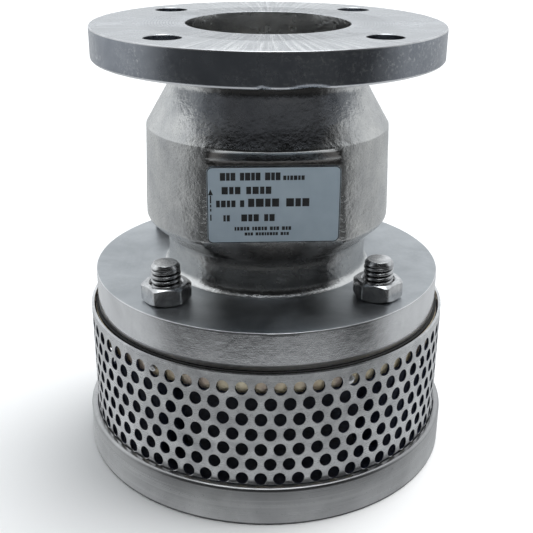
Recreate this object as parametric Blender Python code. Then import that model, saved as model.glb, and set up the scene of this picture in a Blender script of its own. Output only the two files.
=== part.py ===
"""Flanged foot valve with a perforated strainer, for the lower end of a pump's suction pipe.

Frame: metres, +Z up the valve's axis, z = 0 on the strainer base's lower face, nameplate towards -Y.
Water enters through the screen, lifts the spring-loaded poppet off its seat and leaves by the top flange.
"""

import math

import bmesh
import bpy

MM = 0.001
GAP = 0.3 * MM  # left between pieces that touch

# Heights of the main faces, from the floor up
WEB_BOTTOM = 12.0 * MM
WEB_TOP = 20.0 * MM
BASE_TOP = 25.3 * MM
PLATE_BOTTOM = 78.7 * MM
PLATE_TOP = 86.7 * MM
LOWER_FLANGE_BOTTOM = 88.6 * MM
SEAT_TOP = 92.0 * MM
LOWER_FLANGE_TOP = 109.7 * MM
BOLT_TOP = 131.0 * MM
TOP_FLANGE_BOTTOM = 228.7 * MM
OVERALL_HEIGHT = 246.0 * MM

# Casting
TOP_FLANGE_R = 95.25 * MM
OUTLET_R = 44.5 * MM
LOWER_FLANGE_R = 99.6 * MM
LOWER_BORE_R = 50.0 * MM
NECK_R = 53.0 * MM
WAIST_R = 57.0 * MM
BARREL_R = 68.4 * MM
CHAMBER_R = 61.0 * MM
EDGE = 0.7 * MM
FLANGE_HOLE_R = 9.53 * MM
FLANGE_HOLE_CIRCLE_R = 76.2 * MM

# Flat pad for the nameplate, on the casting's front
PAD_Y = -58.3 * MM
PAD_TOP = 185.6 * MM
PAD_RIM_R = 67.9 * MM
PAD_RIM_Z = 192.3 * MM
PAD_WALL = 6.0 * MM
PLATE_WIDTH = 68.4 * MM
PLATE_LOW = 142.0 * MM
PLATE_HIGH = 183.0 * MM
PLATE_THICK = 0.4 * MM
PLATE_CORNER = 3.0 * MM

# Guides: one spider in the casting, one in the seat plate
RIB_THICK = 5.0 * MM
UPPER_RIBS = (174.0 * MM, 192.0 * MM)
LOWER_RIBS = (64.0 * MM, 77.0 * MM)
HUB_R = 12.5 * MM
HUB_BORE_R = 8.3 * MM
UPPER_HUB_BOTTOM = 168.0 * MM
UPPER_HUB_TOP = 198.0 * MM
LOWER_HUB_BOTTOM = 60.0 * MM
LOWER_HUB_TOP = 79.5 * MM
BUSH_R = HUB_BORE_R - 1.1 * GAP
BUSH_FLANGE_R = 14.0 * MM
BUSH_FLANGE = 1.5 * MM
BUSH_BORE_R = 6.3 * MM

# Seat plate and gasket
SEAT_PLATE_R = 101.2 * MM
SEAT_BORE_R = 38.0 * MM
SEAT_SPIGOT_R = 49.4 * MM
SKIRT_R = 48.0 * MM
SKIRT_BOTTOM = 62.0 * MM
GASKET_R = 101.0 * MM

# Poppet
STEM_R = 6.0 * MM
STEM_BOTTOM = 40.0 * MM
STEM_TOP = 188.0 * MM
COLLAR_R = 15.0 * MM
COLLAR_BOTTOM = 109.0 * MM
COLLAR_TOP = 111.5 * MM
DISC_R = 44.0 * MM
DISC_SPIGOT_R = 29.7 * MM
SEAL_R = 43.5 * MM
SEAL_THICK = 4.0 * MM
RETAINER_R = 37.0 * MM
RETAINER_BOTTOM = 88.2 * MM
STEM_NUT_ACROSS_FLATS = 19.0 * MM
STEM_NUT_BOTTOM = 81.9 * MM

# Return spring
SPRING_R = 12.0 * MM
WIRE_R = 1.3 * MM
SPRING_TURNS = 7
POINTS_PER_TURN = 12

# Strainer
SCREEN_R = 103.2 * MM
SCREEN_THICK = 1.5 * MM
SCREEN_TOP = 88.45 * MM
ROWS = 7
HOLES_PER_ROW = 66
TOP_ROW_Z = 80.5 * MM
ROW_SPACING = 9.03 * MM
HOLE_R = 3.2 * MM
TOP_ROW_PHASE = math.radians(-2.0)
WELDS = 6
FIRST_WELDED_HOLE = 10
BASE_R = 108.3 * MM
RIM_R = 103.7 * MM
RECESS_R = 96.0 * MM

# Clamping bolts and nuts
BOLT_CIRCLE_R = 80.0 * MM
BOLT_R = 7.94 * MM
BOLT_HOLE_R = 8.73 * MM
ACROSS_FLATS = 23.8 * MM
HEAD_HEIGHT = 10.0 * MM
NUT_HEIGHT = 10.0 * MM
NUT_BORE_R = 8.5 * MM
CHAMFER = 1.2 * MM
BOLT_ANGLES = [math.radians(45 + 90 * quarter) for quarter in range(4)]
NUT_TURNS = [math.radians(turn) for turn in (17, 52, 5.4, 41.6)]

SEGMENTS = 48
SMALL_SEGMENTS = 24
HEX_POINTS = 12


def clear_scene():
    for old in list(bpy.data.objects):
        bpy.data.objects.remove(old, do_unlink=True)


def make_material(name, colour, metallic, roughness):
    material = bpy.data.materials.new(name)
    material.use_nodes = True
    shader = material.node_tree.nodes["Principled BSDF"]
    shader.inputs["Base Color"].default_value = (*colour, 1.0)
    shader.inputs["Metallic"].default_value = metallic
    shader.inputs["Roughness"].default_value = roughness
    material.diffuse_color = (*colour, 1.0)
    return material


def place(name, mesh, material=None, parent=None):
    """An object at the origin, which is on the valve's axis, with its mesh in place around it."""
    mesh.shade_smooth()
    mesh.set_sharp_from_angle(angle=math.radians(35))
    piece = bpy.data.objects.new(name, mesh)
    bpy.context.scene.collection.objects.link(piece)
    if material:
        mesh.materials.append(material)
    if parent:
        piece.parent = parent
        piece.location = -parent.location
    return piece


def to_mesh(bm, name):
    bmesh.ops.recalc_face_normals(bm, faces=bm.faces)
    mesh = bpy.data.meshes.new(name)
    bm.to_mesh(mesh)
    bm.free()
    return mesh


def turned(name, profile, segments=SEGMENTS):
    """A body of revolution. Its (radius, height) profile is closed or ends on the axis at both ends."""
    bm = bmesh.new()
    verts = [bm.verts.new((radius, 0, height)) for radius, height in profile]
    edges = [bm.edges.new(pair) for pair in zip(verts, verts[1:])]
    if profile[0][0] > 0:
        edges.append(bm.edges.new((verts[-1], verts[0])))
    bmesh.ops.spin(
        bm, geom=verts + edges, cent=(0, 0, 0), axis=(0, 0, 1), angle=math.tau, steps=segments, use_merge=True
    )
    bmesh.ops.remove_doubles(bm, verts=bm.verts, dist=0.001 * MM)
    return to_mesh(bm, name)


def lofted(name, rings, ends_closed):
    """Quads between rings of the same number of points: capped at both ends, or joined last to first."""
    bm = bmesh.new()
    loops = [[bm.verts.new(point) for point in ring] for ring in rings]
    pairs = list(zip(loops, loops[1:]))
    if ends_closed:
        bm.faces.new(loops[0])
        bm.faces.new(loops[-1])
    else:
        pairs.append((loops[-1], loops[0]))
    for lower, upper in pairs:
        for index, vert in enumerate(lower):
            after = (index + 1) % len(lower)
            bm.faces.new((vert, lower[after], upper[after], upper[index]))
    return to_mesh(bm, name)


def extruded(name, outline, thickness, axis):
    """A prism: the outline's points pushed along the axis vector by the thickness."""
    bm = bmesh.new()
    face = bm.faces.new([bm.verts.new(point) for point in outline])
    grown = bmesh.ops.extrude_face_region(bm, geom=[face])["geom"]
    moved = [item for item in grown if isinstance(item, bmesh.types.BMVert)]
    bmesh.ops.translate(bm, verts=moved, vec=[part * thickness for part in axis])
    return to_mesh(bm, name)


def block(name, low, high):
    """A box between two opposite corners."""
    corners = ((low[0], low[1]), (high[0], low[1]), (high[0], high[1]), (low[0], high[1]))
    return extruded(name, [(x, y, low[2]) for x, y in corners], high[2] - low[2], (0, 0, 1))


def cylinders(name, radius, low, high, circle_r, segments=16):
    """Upright cylinders at the four bolt angles."""
    bm = bmesh.new()
    for angle in BOLT_ANGLES:
        grown = bmesh.ops.create_cone(
            bm, cap_ends=True, segments=segments, radius1=radius, radius2=radius, depth=high - low
        )
        centre = (circle_r * math.cos(angle), circle_r * math.sin(angle), (low + high) / 2)
        bmesh.ops.translate(bm, verts=grown["verts"], vec=centre)
    return to_mesh(bm, name)


def shape(piece, operation, mesh):
    """Joins a helper solid to a piece, or cuts the piece with it."""
    helper = place(f"{piece.name}_{mesh.name}", mesh)
    helper.hide_render = True
    helper.display_type = "WIRE"
    boolean = piece.modifiers.new(mesh.name, "BOOLEAN")
    boolean.operation = operation
    boolean.solver = "EXACT"
    boolean.object = helper


def add_spider(piece, reach, rib_levels, hub_levels):
    """Four ribs from the wall to a central hub, bored for the stem's bushing."""
    half = RIB_THICK / 2
    rib_low, rib_high = rib_levels
    hub_low, hub_high = hub_levels
    shape(piece, "UNION", block("rib_x", (-reach, -half, rib_low), (reach, half, rib_high)))
    shape(piece, "UNION", block("rib_y", (-half, -reach, rib_low), (half, reach, rib_high)))
    hub = [(0, hub_low), (HUB_R, hub_low), (HUB_R, hub_high), (0, hub_high)]
    shape(piece, "UNION", turned("hub", hub, SMALL_SEGMENTS))
    bore = [(0, hub_low - MM), (HUB_BORE_R, hub_low - MM), (HUB_BORE_R, hub_high + MM), (0, hub_high + MM)]
    shape(piece, "DIFFERENCE", turned("hub_bore", bore, SMALL_SEGMENTS))


def facet_cutter():
    """Takes the barrel's front away to a flat, which flares out at its top to the barrel's round edge."""
    low, front = 125.0 * MM, -80.0 * MM
    rings = []
    for column in range(13):
        x = (column - 6) * 6.2 * MM
        rim_y = min(PAD_Y, -math.sqrt(PAD_RIM_R**2 - x**2))
        section = ((PAD_Y, low), (PAD_Y, PAD_TOP), (rim_y, PAD_RIM_Z), (front, PAD_RIM_Z), (front, low))
        rings.append([(x, y, z) for y, z in section])
    return lofted("facet", rings, ends_closed=True)


def valve_body(material):
    """The casting: two flanges, a barrel with a flat front pad, and the upper guide's spider."""
    profile = [
        (OUTLET_R, OVERALL_HEIGHT - EDGE),
        (OUTLET_R + EDGE, OVERALL_HEIGHT),
        (TOP_FLANGE_R - EDGE, OVERALL_HEIGHT),
        (TOP_FLANGE_R, OVERALL_HEIGHT - EDGE),
        (TOP_FLANGE_R, TOP_FLANGE_BOTTOM + EDGE),
        (TOP_FLANGE_R - EDGE, TOP_FLANGE_BOTTOM),
        (NECK_R + 4 * MM, TOP_FLANGE_BOTTOM),
        (NECK_R + 1 * MM, TOP_FLANGE_BOTTOM - 1.2 * MM),
        (NECK_R, TOP_FLANGE_BOTTOM - 4 * MM),
        (NECK_R, 217.2 * MM),
        (BARREL_R - 1.1 * MM, 192.5 * MM),
        (BARREL_R - 0.5 * MM, 190.0 * MM),
        (BARREL_R + 0.5 * MM, 148.0 * MM),
        (BARREL_R - 0.3 * MM, 141.4 * MM),
        (BARREL_R - 2.4 * MM, 137.8 * MM),
        (WAIST_R + 0.8 * MM, 130.4 * MM),
        (WAIST_R, 128.0 * MM),
        (WAIST_R, LOWER_FLANGE_TOP + 5.5 * MM),
        (WAIST_R + 1.6 * MM, LOWER_FLANGE_TOP + 1.6 * MM),
        (WAIST_R + 5.5 * MM, LOWER_FLANGE_TOP),
        (LOWER_FLANGE_R - EDGE, LOWER_FLANGE_TOP),
        (LOWER_FLANGE_R, LOWER_FLANGE_TOP - EDGE),
        (LOWER_FLANGE_R, LOWER_FLANGE_BOTTOM + EDGE),
        (LOWER_FLANGE_R - EDGE, LOWER_FLANGE_BOTTOM),
        (LOWER_BORE_R, LOWER_FLANGE_BOTTOM),
        (LOWER_BORE_R, 131.0 * MM),
        (CHAMBER_R, 145.0 * MM),
        (CHAMBER_R, 188.0 * MM),
        (OUTLET_R, 213.0 * MM),
    ]
    body = place("valve_body", turned("casting", profile), material)
    pad_low = (-31.6 * MM, PAD_Y + 3.3 * MM, 138 * MM)
    pad_high = (31.6 * MM, PAD_Y + PAD_WALL, 196 * MM)
    shape(body, "UNION", block("pad", pad_low, pad_high))
    add_spider(body, CHAMBER_R + 3 * MM, UPPER_RIBS, (UPPER_HUB_BOTTOM, UPPER_HUB_TOP))
    shape(body, "DIFFERENCE", facet_cutter())
    top_holes = cylinders(
        "top_holes", FLANGE_HOLE_R, TOP_FLANGE_BOTTOM - MM, OVERALL_HEIGHT + MM, FLANGE_HOLE_CIRCLE_R
    )
    shape(body, "DIFFERENCE", top_holes)
    bolt_holes = cylinders(
        "bolt_holes", BOLT_HOLE_R, LOWER_FLANGE_BOTTOM - MM, LOWER_FLANGE_TOP + MM, BOLT_CIRCLE_R
    )
    shape(body, "DIFFERENCE", bolt_holes)


def nameplate(material):
    """A thin plate with rounded corners on the casting's flat pad."""
    middle = (PLATE_LOW + PLATE_HIGH) / 2
    across = PLATE_WIDTH / 2 - PLATE_CORNER
    up = (PLATE_HIGH - PLATE_LOW) / 2 - PLATE_CORNER
    outline = []
    for quarter, (side, rise) in enumerate(((1, 1), (-1, 1), (-1, -1), (1, -1))):
        for step in range(4):
            angle = math.radians(90 * quarter + 30 * step)
            x = side * across + PLATE_CORNER * math.cos(angle)
            z = middle + rise * up + PLATE_CORNER * math.sin(angle)
            outline.append((x, PAD_Y - GAP, z))
    place("nameplate", extruded("nameplate", outline, PLATE_THICK, (0, -1, 0)), material)


def body_gasket(material):
    low = PLATE_TOP + GAP
    high = LOWER_FLANGE_BOTTOM - GAP
    inner = LOWER_BORE_R + GAP
    profile = [(inner, low), (GASKET_R, low), (GASKET_R, high), (inner, high)]
    gasket = place("body_gasket", turned("gasket", profile), material)
    shape(gasket, "DIFFERENCE", cylinders("bolt_holes", BOLT_HOLE_R, low - MM, high + MM, BOLT_CIRCLE_R))


def seat_plate(material):
    """The plate between the casting and the screen: a raised seat, a skirt, and the lower guide's spider."""
    profile = [
        (SEAT_PLATE_R, PLATE_BOTTOM),
        (SEAT_PLATE_R, PLATE_TOP),
        (SEAT_SPIGOT_R, PLATE_TOP),
        (SEAT_SPIGOT_R, SEAT_TOP - 1.4 * MM),
        (SEAT_BORE_R + 6.8 * MM, SEAT_TOP - 1.4 * MM),
        (SEAT_BORE_R + 6.0 * MM, SEAT_TOP),
        (SEAT_BORE_R + 1.2 * MM, SEAT_TOP),
        (SEAT_BORE_R, SEAT_TOP - 1.2 * MM),
        (SEAT_BORE_R, SKIRT_BOTTOM),
        (SKIRT_R - 3 * MM, SKIRT_BOTTOM),
        (SKIRT_R, SKIRT_BOTTOM + 3 * MM),
        (SKIRT_R, PLATE_BOTTOM),
    ]
    plate = place("seat_plate", turned("seat", profile), material)
    add_spider(plate, SEAT_BORE_R + 4 * MM, LOWER_RIBS, (LOWER_HUB_BOTTOM, LOWER_HUB_TOP))
    bolt_holes = cylinders("bolt_holes", BOLT_HOLE_R, PLATE_BOTTOM - MM, PLATE_TOP + MM, BOLT_CIRCLE_R)
    shape(plate, "DIFFERENCE", bolt_holes)


def bushings(material):
    """Flanged sleeves in the two hubs, their flanges towards the poppet."""
    upper_flange = UPPER_HUB_BOTTOM - GAP
    upper = [
        (BUSH_BORE_R, upper_flange - BUSH_FLANGE),
        (BUSH_FLANGE_R, upper_flange - BUSH_FLANGE),
        (BUSH_FLANGE_R, upper_flange),
        (BUSH_R, upper_flange),
        (BUSH_R, UPPER_HUB_TOP - MM),
        (BUSH_BORE_R, UPPER_HUB_TOP - MM),
    ]
    place("upper_guide_bushing", turned("upper_bushing", upper, SMALL_SEGMENTS), material)
    lower_flange = LOWER_HUB_TOP + GAP
    flange_r = BUSH_FLANGE_R - 3 * MM
    lower = [
        (BUSH_BORE_R, LOWER_HUB_BOTTOM + MM),
        (BUSH_R, LOWER_HUB_BOTTOM + MM),
        (BUSH_R, lower_flange),
        (flange_r, lower_flange),
        (flange_r, lower_flange + 1.2 * MM),
        (BUSH_BORE_R, lower_flange + 1.2 * MM),
    ]
    place("lower_guide_bushing", turned("lower_bushing", lower, SMALL_SEGMENTS), material)


def poppet(steel, dark_steel, rubber):
    """The moving body: a disc and its rubber seal, clamped on the stem between a collar and a nut."""
    axis = bpy.data.objects.new("poppet_axis", None)
    axis.location = (0, 0, SEAT_TOP)
    bpy.context.scene.collection.objects.link(axis)
    seal_bottom = SEAT_TOP + GAP
    under_disc = seal_bottom + SEAL_THICK + GAP
    disc_top = COLLAR_BOTTOM - GAP
    disc = [
        (BUSH_BORE_R, seal_bottom),
        (DISC_SPIGOT_R, seal_bottom),
        (DISC_SPIGOT_R, under_disc),
        (DISC_R - 0.8 * MM, under_disc),
        (DISC_R, under_disc + 0.8 * MM),
        (DISC_R, under_disc + 4 * MM),
        (DISC_R - 1.5 * MM, under_disc + 5 * MM),
        (COLLAR_R - 0.5 * MM, disc_top - 2.2 * MM),
        (COLLAR_R - 2 * MM, disc_top),
        (BUSH_BORE_R, disc_top),
    ]
    place("poppet_disc", turned("disc", disc), steel, axis)
    stem = [
        (0, STEM_BOTTOM),
        (STEM_R - MM, STEM_BOTTOM),
        (STEM_R, STEM_BOTTOM + MM),
        (STEM_R, COLLAR_BOTTOM),
        (COLLAR_R, COLLAR_BOTTOM),
        (COLLAR_R, COLLAR_TOP),
        (STEM_R, COLLAR_TOP),
        (STEM_R, STEM_TOP - MM),
        (STEM_R - MM, STEM_TOP),
        (0, STEM_TOP),
    ]
    place("poppet_stem", turned("stem", stem, SMALL_SEGMENTS), steel, axis)
    seal = [
        (DISC_SPIGOT_R + GAP, seal_bottom),
        (SEAL_R - 0.5 * MM, seal_bottom),
        (SEAL_R, seal_bottom + 0.5 * MM),
        (SEAL_R, seal_bottom + SEAL_THICK),
        (DISC_SPIGOT_R + GAP, seal_bottom + SEAL_THICK),
    ]
    place("seat_seal", turned("seal", seal), rubber, axis)
    retainer = [
        (BUSH_BORE_R, RETAINER_BOTTOM),
        (RETAINER_R - MM, RETAINER_BOTTOM),
        (RETAINER_R, RETAINER_BOTTOM + MM),
        (RETAINER_R, seal_bottom - GAP),
        (BUSH_BORE_R, seal_bottom - GAP),
    ]
    place("seal_retainer", turned("retainer", retainer), steel, axis)
    nut_height = RETAINER_BOTTOM - GAP - STEM_NUT_BOTTOM
    nut_mesh = hex_nut("stem_nut", STEM_NUT_ACROSS_FLATS, BUSH_BORE_R, nut_height)
    nut = place("retainer_nut", nut_mesh, dark_steel, axis)
    nut.location.z += STEM_NUT_BOTTOM


def poppet_spring(material):
    """A compression spring with flat end turns, between the stem's collar and the upper bushing."""
    low = COLLAR_TOP + GAP + WIRE_R
    high = UPPER_HUB_BOTTOM - 2 * GAP - BUSH_FLANGE - WIRE_R
    pitch = (high - low - 2 * 2 * WIRE_R) / (SPRING_TURNS - 2)
    curve = bpy.data.curves.new("poppet_spring", "CURVE")
    curve.dimensions = "3D"
    curve.bevel_depth = WIRE_R
    curve.bevel_resolution = 1
    curve.use_fill_caps = True
    spline = curve.splines.new("POLY")
    spline.points.add(SPRING_TURNS * POINTS_PER_TURN)
    for index, point in enumerate(spline.points):
        turn = index / POINTS_PER_TURN
        closing = 2 * WIRE_R * (min(turn, 1) + max(turn - SPRING_TURNS + 1, 0))
        rising = pitch * min(max(turn - 1, 0), SPRING_TURNS - 2)
        angle = math.tau * turn
        point.co = (SPRING_R * math.cos(angle), SPRING_R * math.sin(angle), low + closing + rising, 1)
    curve.materials.append(material)
    spring = bpy.data.objects.new("poppet_spring", curve)
    bpy.context.scene.collection.objects.link(spring)


def screen_mesh():
    """A rolled sheet with staggered rows of holes, drawn four-sided with a round hole's open area."""
    reach = HOLE_R * math.sqrt(math.pi / 2)
    pitch = math.tau / HOLES_PER_ROW
    bottom = WEB_TOP + GAP
    bm = bmesh.new()
    sides = []
    for radius in (SCREEN_R, SCREEN_R - SCREEN_THICK):
        wide = reach / SCREEN_R
        def point(angle, height):
            return bm.verts.new((radius * math.cos(angle), radius * math.sin(angle), height))
        holes = []
        for row in range(ROWS):
            z = TOP_ROW_Z - row * ROW_SPACING
            angles = [TOP_ROW_PHASE + (hole + row % 2 / 2) * pitch for hole in range(HOLES_PER_ROW)]
            corners = ((-wide, 0), (0, reach), (wide, 0), (0, -reach))
            holes.append([[point(angle + along, z + up) for along, up in corners] for angle in angles])
        edge_angles = [TOP_ROW_PHASE + hole * pitch for hole in range(HOLES_PER_ROW)]
        rims = [[point(angle, level) for angle in edge_angles] for level in (SCREEN_TOP, bottom)]
        sides.append((holes, rims))
    for holes, rims in sides:
        for hole in range(HOLES_PER_ROW):
            after = (hole + 1) % HOLES_PER_ROW
            for row, rim, tip in ((holes[0], rims[0], 1), (holes[-1], rims[1], 3)):
                bm.faces.new((row[hole][tip], rim[hole], rim[after], row[after][tip]))
                bm.faces.new((row[hole][tip], row[after][tip], row[after][0], row[hole][2]))
        for row in range(ROWS - 1):
            add_web(bm, holes[row], holes[row + 1], row % 2)
    add_thickness(bm, sides)
    return to_mesh(bm, "screen")


def add_web(bm, upper, lower, shift):
    """The metal between one row of holes and the next, which sits half a pitch aside."""
    for hole, (left, _, right, base) in enumerate(upper):
        plus = lower[(hole + shift) % HOLES_PER_ROW]
        minus = lower[(hole + shift - 1) % HOLES_PER_ROW]
        beside = upper[(hole + 1) % HOLES_PER_ROW]
        bm.faces.new((base, plus[0], plus[1], right))
        bm.faces.new((left, minus[1], minus[2], base))
        bm.faces.new((base, minus[2], plus[0]))
        bm.faces.new((right, plus[1], beside[0]))


def add_thickness(bm, sides):
    """Joins the sheet's two sides at its edges and in each hole, and fills the plug-welded holes."""
    (outer_holes, outer_rims), (inner_holes, inner_rims) = sides
    spacing = HOLES_PER_ROW // WELDS
    for row in range(ROWS):
        for hole in range(HOLES_PER_ROW):
            outer = outer_holes[row][hole]
            inner = inner_holes[row][hole]
            if row == 0 and hole % spacing == FIRST_WELDED_HOLE:
                bm.faces.new(outer)
                bm.faces.new(inner)
                continue
            for side in range(4):
                after = (side + 1) % 4
                bm.faces.new((outer[side], outer[after], inner[after], inner[side]))
    for outer, inner in zip(outer_rims, inner_rims):
        for hole in range(HOLES_PER_ROW):
            after = (hole + 1) % HOLES_PER_ROW
            bm.faces.new((outer[hole], outer[after], inner[after], inner[hole]))


def strainer(steel, base_steel):
    """The screen, and the base it stands in: a plate whose recess keeps the bolt heads off the floor."""
    place("strainer_screen", screen_mesh(), steel)
    profile = [
        (0, WEB_BOTTOM),
        (RECESS_R, WEB_BOTTOM),
        (RECESS_R, 0),
        (BASE_R - MM, 0),
        (BASE_R, MM),
        (BASE_R, BASE_TOP - EDGE),
        (BASE_R - EDGE, BASE_TOP),
        (RIM_R, BASE_TOP),
        (RIM_R, WEB_TOP),
        (0, WEB_TOP),
    ]
    base = place("strainer_base", turned("base", profile), base_steel)
    holes = cylinders("bolt_holes", BOLT_HOLE_R, WEB_BOTTOM - MM, WEB_TOP + MM, BOLT_CIRCLE_R)
    shape(base, "DIFFERENCE", holes)


def hex_ring(across_flats, height, turn=0.0):
    """Points around a hexagon, at its corners and the middles of its sides."""
    ring = []
    for index in range(HEX_POINTS):
        radius = across_flats / 2 if index % 2 else across_flats / math.sqrt(3)
        angle = turn + math.tau * index / HEX_POINTS
        ring.append((radius * math.cos(angle), radius * math.sin(angle), height))
    return ring


def round_ring(radius, height, turn=0.0):
    angles = [turn + math.tau * index / HEX_POINTS for index in range(HEX_POINTS)]
    return [(radius * math.cos(angle), radius * math.sin(angle), height) for angle in angles]


def hex_nut(name, across_flats, bore_r, height, turn=0.0):
    """A nut that stands on z = 0, with its upper corners chamfered."""
    rings = [
        hex_ring(across_flats, 0, turn),
        hex_ring(across_flats, height - CHAMFER, turn),
        round_ring(across_flats / 2 - 0.2 * MM, height, turn),
        round_ring(bore_r, height, turn),
        round_ring(bore_r, 0, turn),
    ]
    return lofted(name, rings, ends_closed=False)


def clamp_bolt():
    """A hex-head bolt that hangs from its head's upper face at z = 0."""
    shank_top = BOLT_TOP - WEB_BOTTOM + GAP
    rings = [
        round_ring(ACROSS_FLATS / 2 - 0.2 * MM, -HEAD_HEIGHT),
        hex_ring(ACROSS_FLATS, CHAMFER - HEAD_HEIGHT),
        hex_ring(ACROSS_FLATS, 0),
        round_ring(BOLT_R, 0),
        round_ring(BOLT_R, shank_top - CHAMFER),
        round_ring(BOLT_R - CHAMFER, shank_top),
    ]
    return lofted("clamp_bolt", rings, ends_closed=True)


def clamp_fasteners(material):
    """Four bolts from the base's recess up through the casting's lower flange, and their nuts."""
    bolt_mesh = clamp_bolt()
    for index, (angle, turn) in enumerate(zip(BOLT_ANGLES, NUT_TURNS), start=1):
        x = BOLT_CIRCLE_R * math.cos(angle)
        y = BOLT_CIRCLE_R * math.sin(angle)
        bolt = place(f"clamp_bolt_{index}", bolt_mesh.copy(), material)
        bolt.location = (x, y, WEB_BOTTOM - GAP)
        nut_mesh = hex_nut("clamp_nut", ACROSS_FLATS, NUT_BORE_R, NUT_HEIGHT, turn)
        nut = place(f"clamp_nut_{index}", nut_mesh, material)
        nut.location = (x, y, LOWER_FLANGE_TOP + GAP)


def main():
    clear_scene()
    cast_steel = make_material("cast_stainless", (0.62, 0.62, 0.60), 1.0, 0.38)
    plate_steel = make_material("perforated_stainless", (0.68, 0.68, 0.67), 1.0, 0.34)
    base_steel = make_material("machined_stainless", (0.56, 0.56, 0.56), 1.0, 0.36)
    dark_steel = make_material("fastener_steel", (0.30, 0.30, 0.30), 1.0, 0.32)
    bronze = make_material("bronze", (0.55, 0.43, 0.28), 1.0, 0.42)
    rubber = make_material("black_rubber", (0.03, 0.03, 0.03), 0.0, 0.75)
    fibre = make_material("gasket_fibre", (0.12, 0.12, 0.11), 0.0, 0.85)
    spring_steel = make_material("spring_steel", (0.55, 0.55, 0.56), 1.0, 0.28)
    label = make_material("label_foil", (0.60, 0.60, 0.59), 0.6, 0.40)
    valve_body(cast_steel)
    nameplate(label)
    body_gasket(fibre)
    seat_plate(bronze)
    bushings(bronze)
    poppet(plate_steel, dark_steel, rubber)
    poppet_spring(spring_steel)
    strainer(plate_steel, base_steel)
    clamp_fasteners(dark_steel)


main()
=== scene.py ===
import math

import bmesh
import bpy
import numpy as np
from mathutils import Euler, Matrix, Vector, noise


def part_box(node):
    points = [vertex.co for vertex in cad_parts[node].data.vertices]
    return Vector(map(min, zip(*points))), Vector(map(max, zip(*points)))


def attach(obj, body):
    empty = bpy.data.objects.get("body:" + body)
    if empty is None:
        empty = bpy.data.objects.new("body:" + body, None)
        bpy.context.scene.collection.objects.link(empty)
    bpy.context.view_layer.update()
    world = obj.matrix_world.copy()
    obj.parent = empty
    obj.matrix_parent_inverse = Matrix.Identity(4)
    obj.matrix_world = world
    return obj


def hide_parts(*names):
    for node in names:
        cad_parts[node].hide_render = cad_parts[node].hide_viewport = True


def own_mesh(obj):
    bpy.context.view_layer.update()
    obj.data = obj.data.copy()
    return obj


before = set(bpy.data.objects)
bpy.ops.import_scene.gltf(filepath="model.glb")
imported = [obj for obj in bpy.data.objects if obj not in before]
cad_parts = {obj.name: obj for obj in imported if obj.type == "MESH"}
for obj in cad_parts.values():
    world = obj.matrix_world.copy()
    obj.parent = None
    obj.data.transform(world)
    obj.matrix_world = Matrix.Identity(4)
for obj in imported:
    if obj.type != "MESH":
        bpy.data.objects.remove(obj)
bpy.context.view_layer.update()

MM = 0.001
COLUMNS = 384  # around the base
CAST_COLUMNS = 288  # around the casting
RING_COLUMNS = 192  # around the inner rings
SMALL_COLUMNS = 96

# Places read off the frame
BODY_LOW, BODY_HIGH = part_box("valve_body")
BASE_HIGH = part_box("strainer_base")[1]
SCREEN_LOW, SCREEN_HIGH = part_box("strainer_screen")
SEAT_LOW, SEAT_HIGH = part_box("seat_plate")
GASKET_LOW, GASKET_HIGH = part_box("body_gasket")
LABEL_LOW, LABEL_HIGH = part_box("nameplate")
SPRING_LOW, SPRING_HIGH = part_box("poppet_spring")
STEM_LOW, STEM_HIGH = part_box("poppet_stem")
DISC_LOW, DISC_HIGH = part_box("poppet_disc")
SEAL_LOW, SEAL_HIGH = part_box("seat_seal")
RETAINER_LOW, RETAINER_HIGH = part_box("seal_retainer")
STEM_NUT_LOW, STEM_NUT_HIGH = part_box("retainer_nut")
UPPER_BUSH_LOW, UPPER_BUSH_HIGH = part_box("upper_guide_bushing")
LOWER_BUSH_LOW, LOWER_BUSH_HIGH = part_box("lower_guide_bushing")

# Casting
TOP_FLANGE_R = 95.25 * MM
TOP_FLANGE_THICK = 17.3 * MM
OUTLET_R = 44.5 * MM
LOWER_FLANGE_THICK = 21.1 * MM
NECK_R = 53.0 * MM
WAIST_R = 57.0 * MM
BARREL_R = 68.4 * MM
FLANGE_HOLE_R = 9.53 * MM
FLANGE_HOLE_CIRCLE_R = 76.2 * MM
SERRATED_R = 66.0 * MM
GROOVE_PITCH = 1.1 * MM
GROOVE_DEPTH = 0.1 * MM
PAD_Y = 58.3 * MM
PAD_TOP = 185.6 * MM
PAD_RIM_Z = 192.5 * MM
PAD_RIM_R = 67.9 * MM
BARREL_BOTTOM = 142 * MM
WAIST_TOP = 130 * MM
# The dark strip above the nameplate is painted shade.
LABEL_SIDE = 35.5 * MM  # half the width of the dark strip above the nameplate
EDGE_FINISH = 5

# Fasteners
BOLT_CIRCLE_R = 80.0 * MM
BOLT_HOLE_R = 8.73 * MM
BOLT_R = 7.94 * MM
THREAD_PITCH = 2.75 * MM
THREAD_DEPTH = 1.25 * MM
ACROSS_FLATS = 23.8 * MM
BOLT_ANGLES = [math.radians(45 + 90 * quarter) for quarter in range(4)]
NUT_TURNS = [math.radians(turn) for turn in (17, 30, 5.4, 41.6)]

# Screen
SCREEN_R = SCREEN_HIGH.x + 0.6 * MM
SCREEN_THICK = 1.5 * MM
ROWS = 7
HOLES_PER_ROW = 66
HOLE_SIDES = 24
TOP_ROW_Z = 80.5 * MM
ROW_SPACING = 9.03 * MM
HOLE_R = 3.3 * MM
HOLE_RISE = 1.12  # the holes look a little taller than they are wide
TOP_ROW_PHASE = math.radians(-2.0)
FIRST_WELDED_HOLE = 10
WELDED_EVERY = 11

# Base
BASE_FLOOR = 20 * MM
BASE_RECESS = 12 * MM
RECESS_R = 96 * MM

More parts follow.
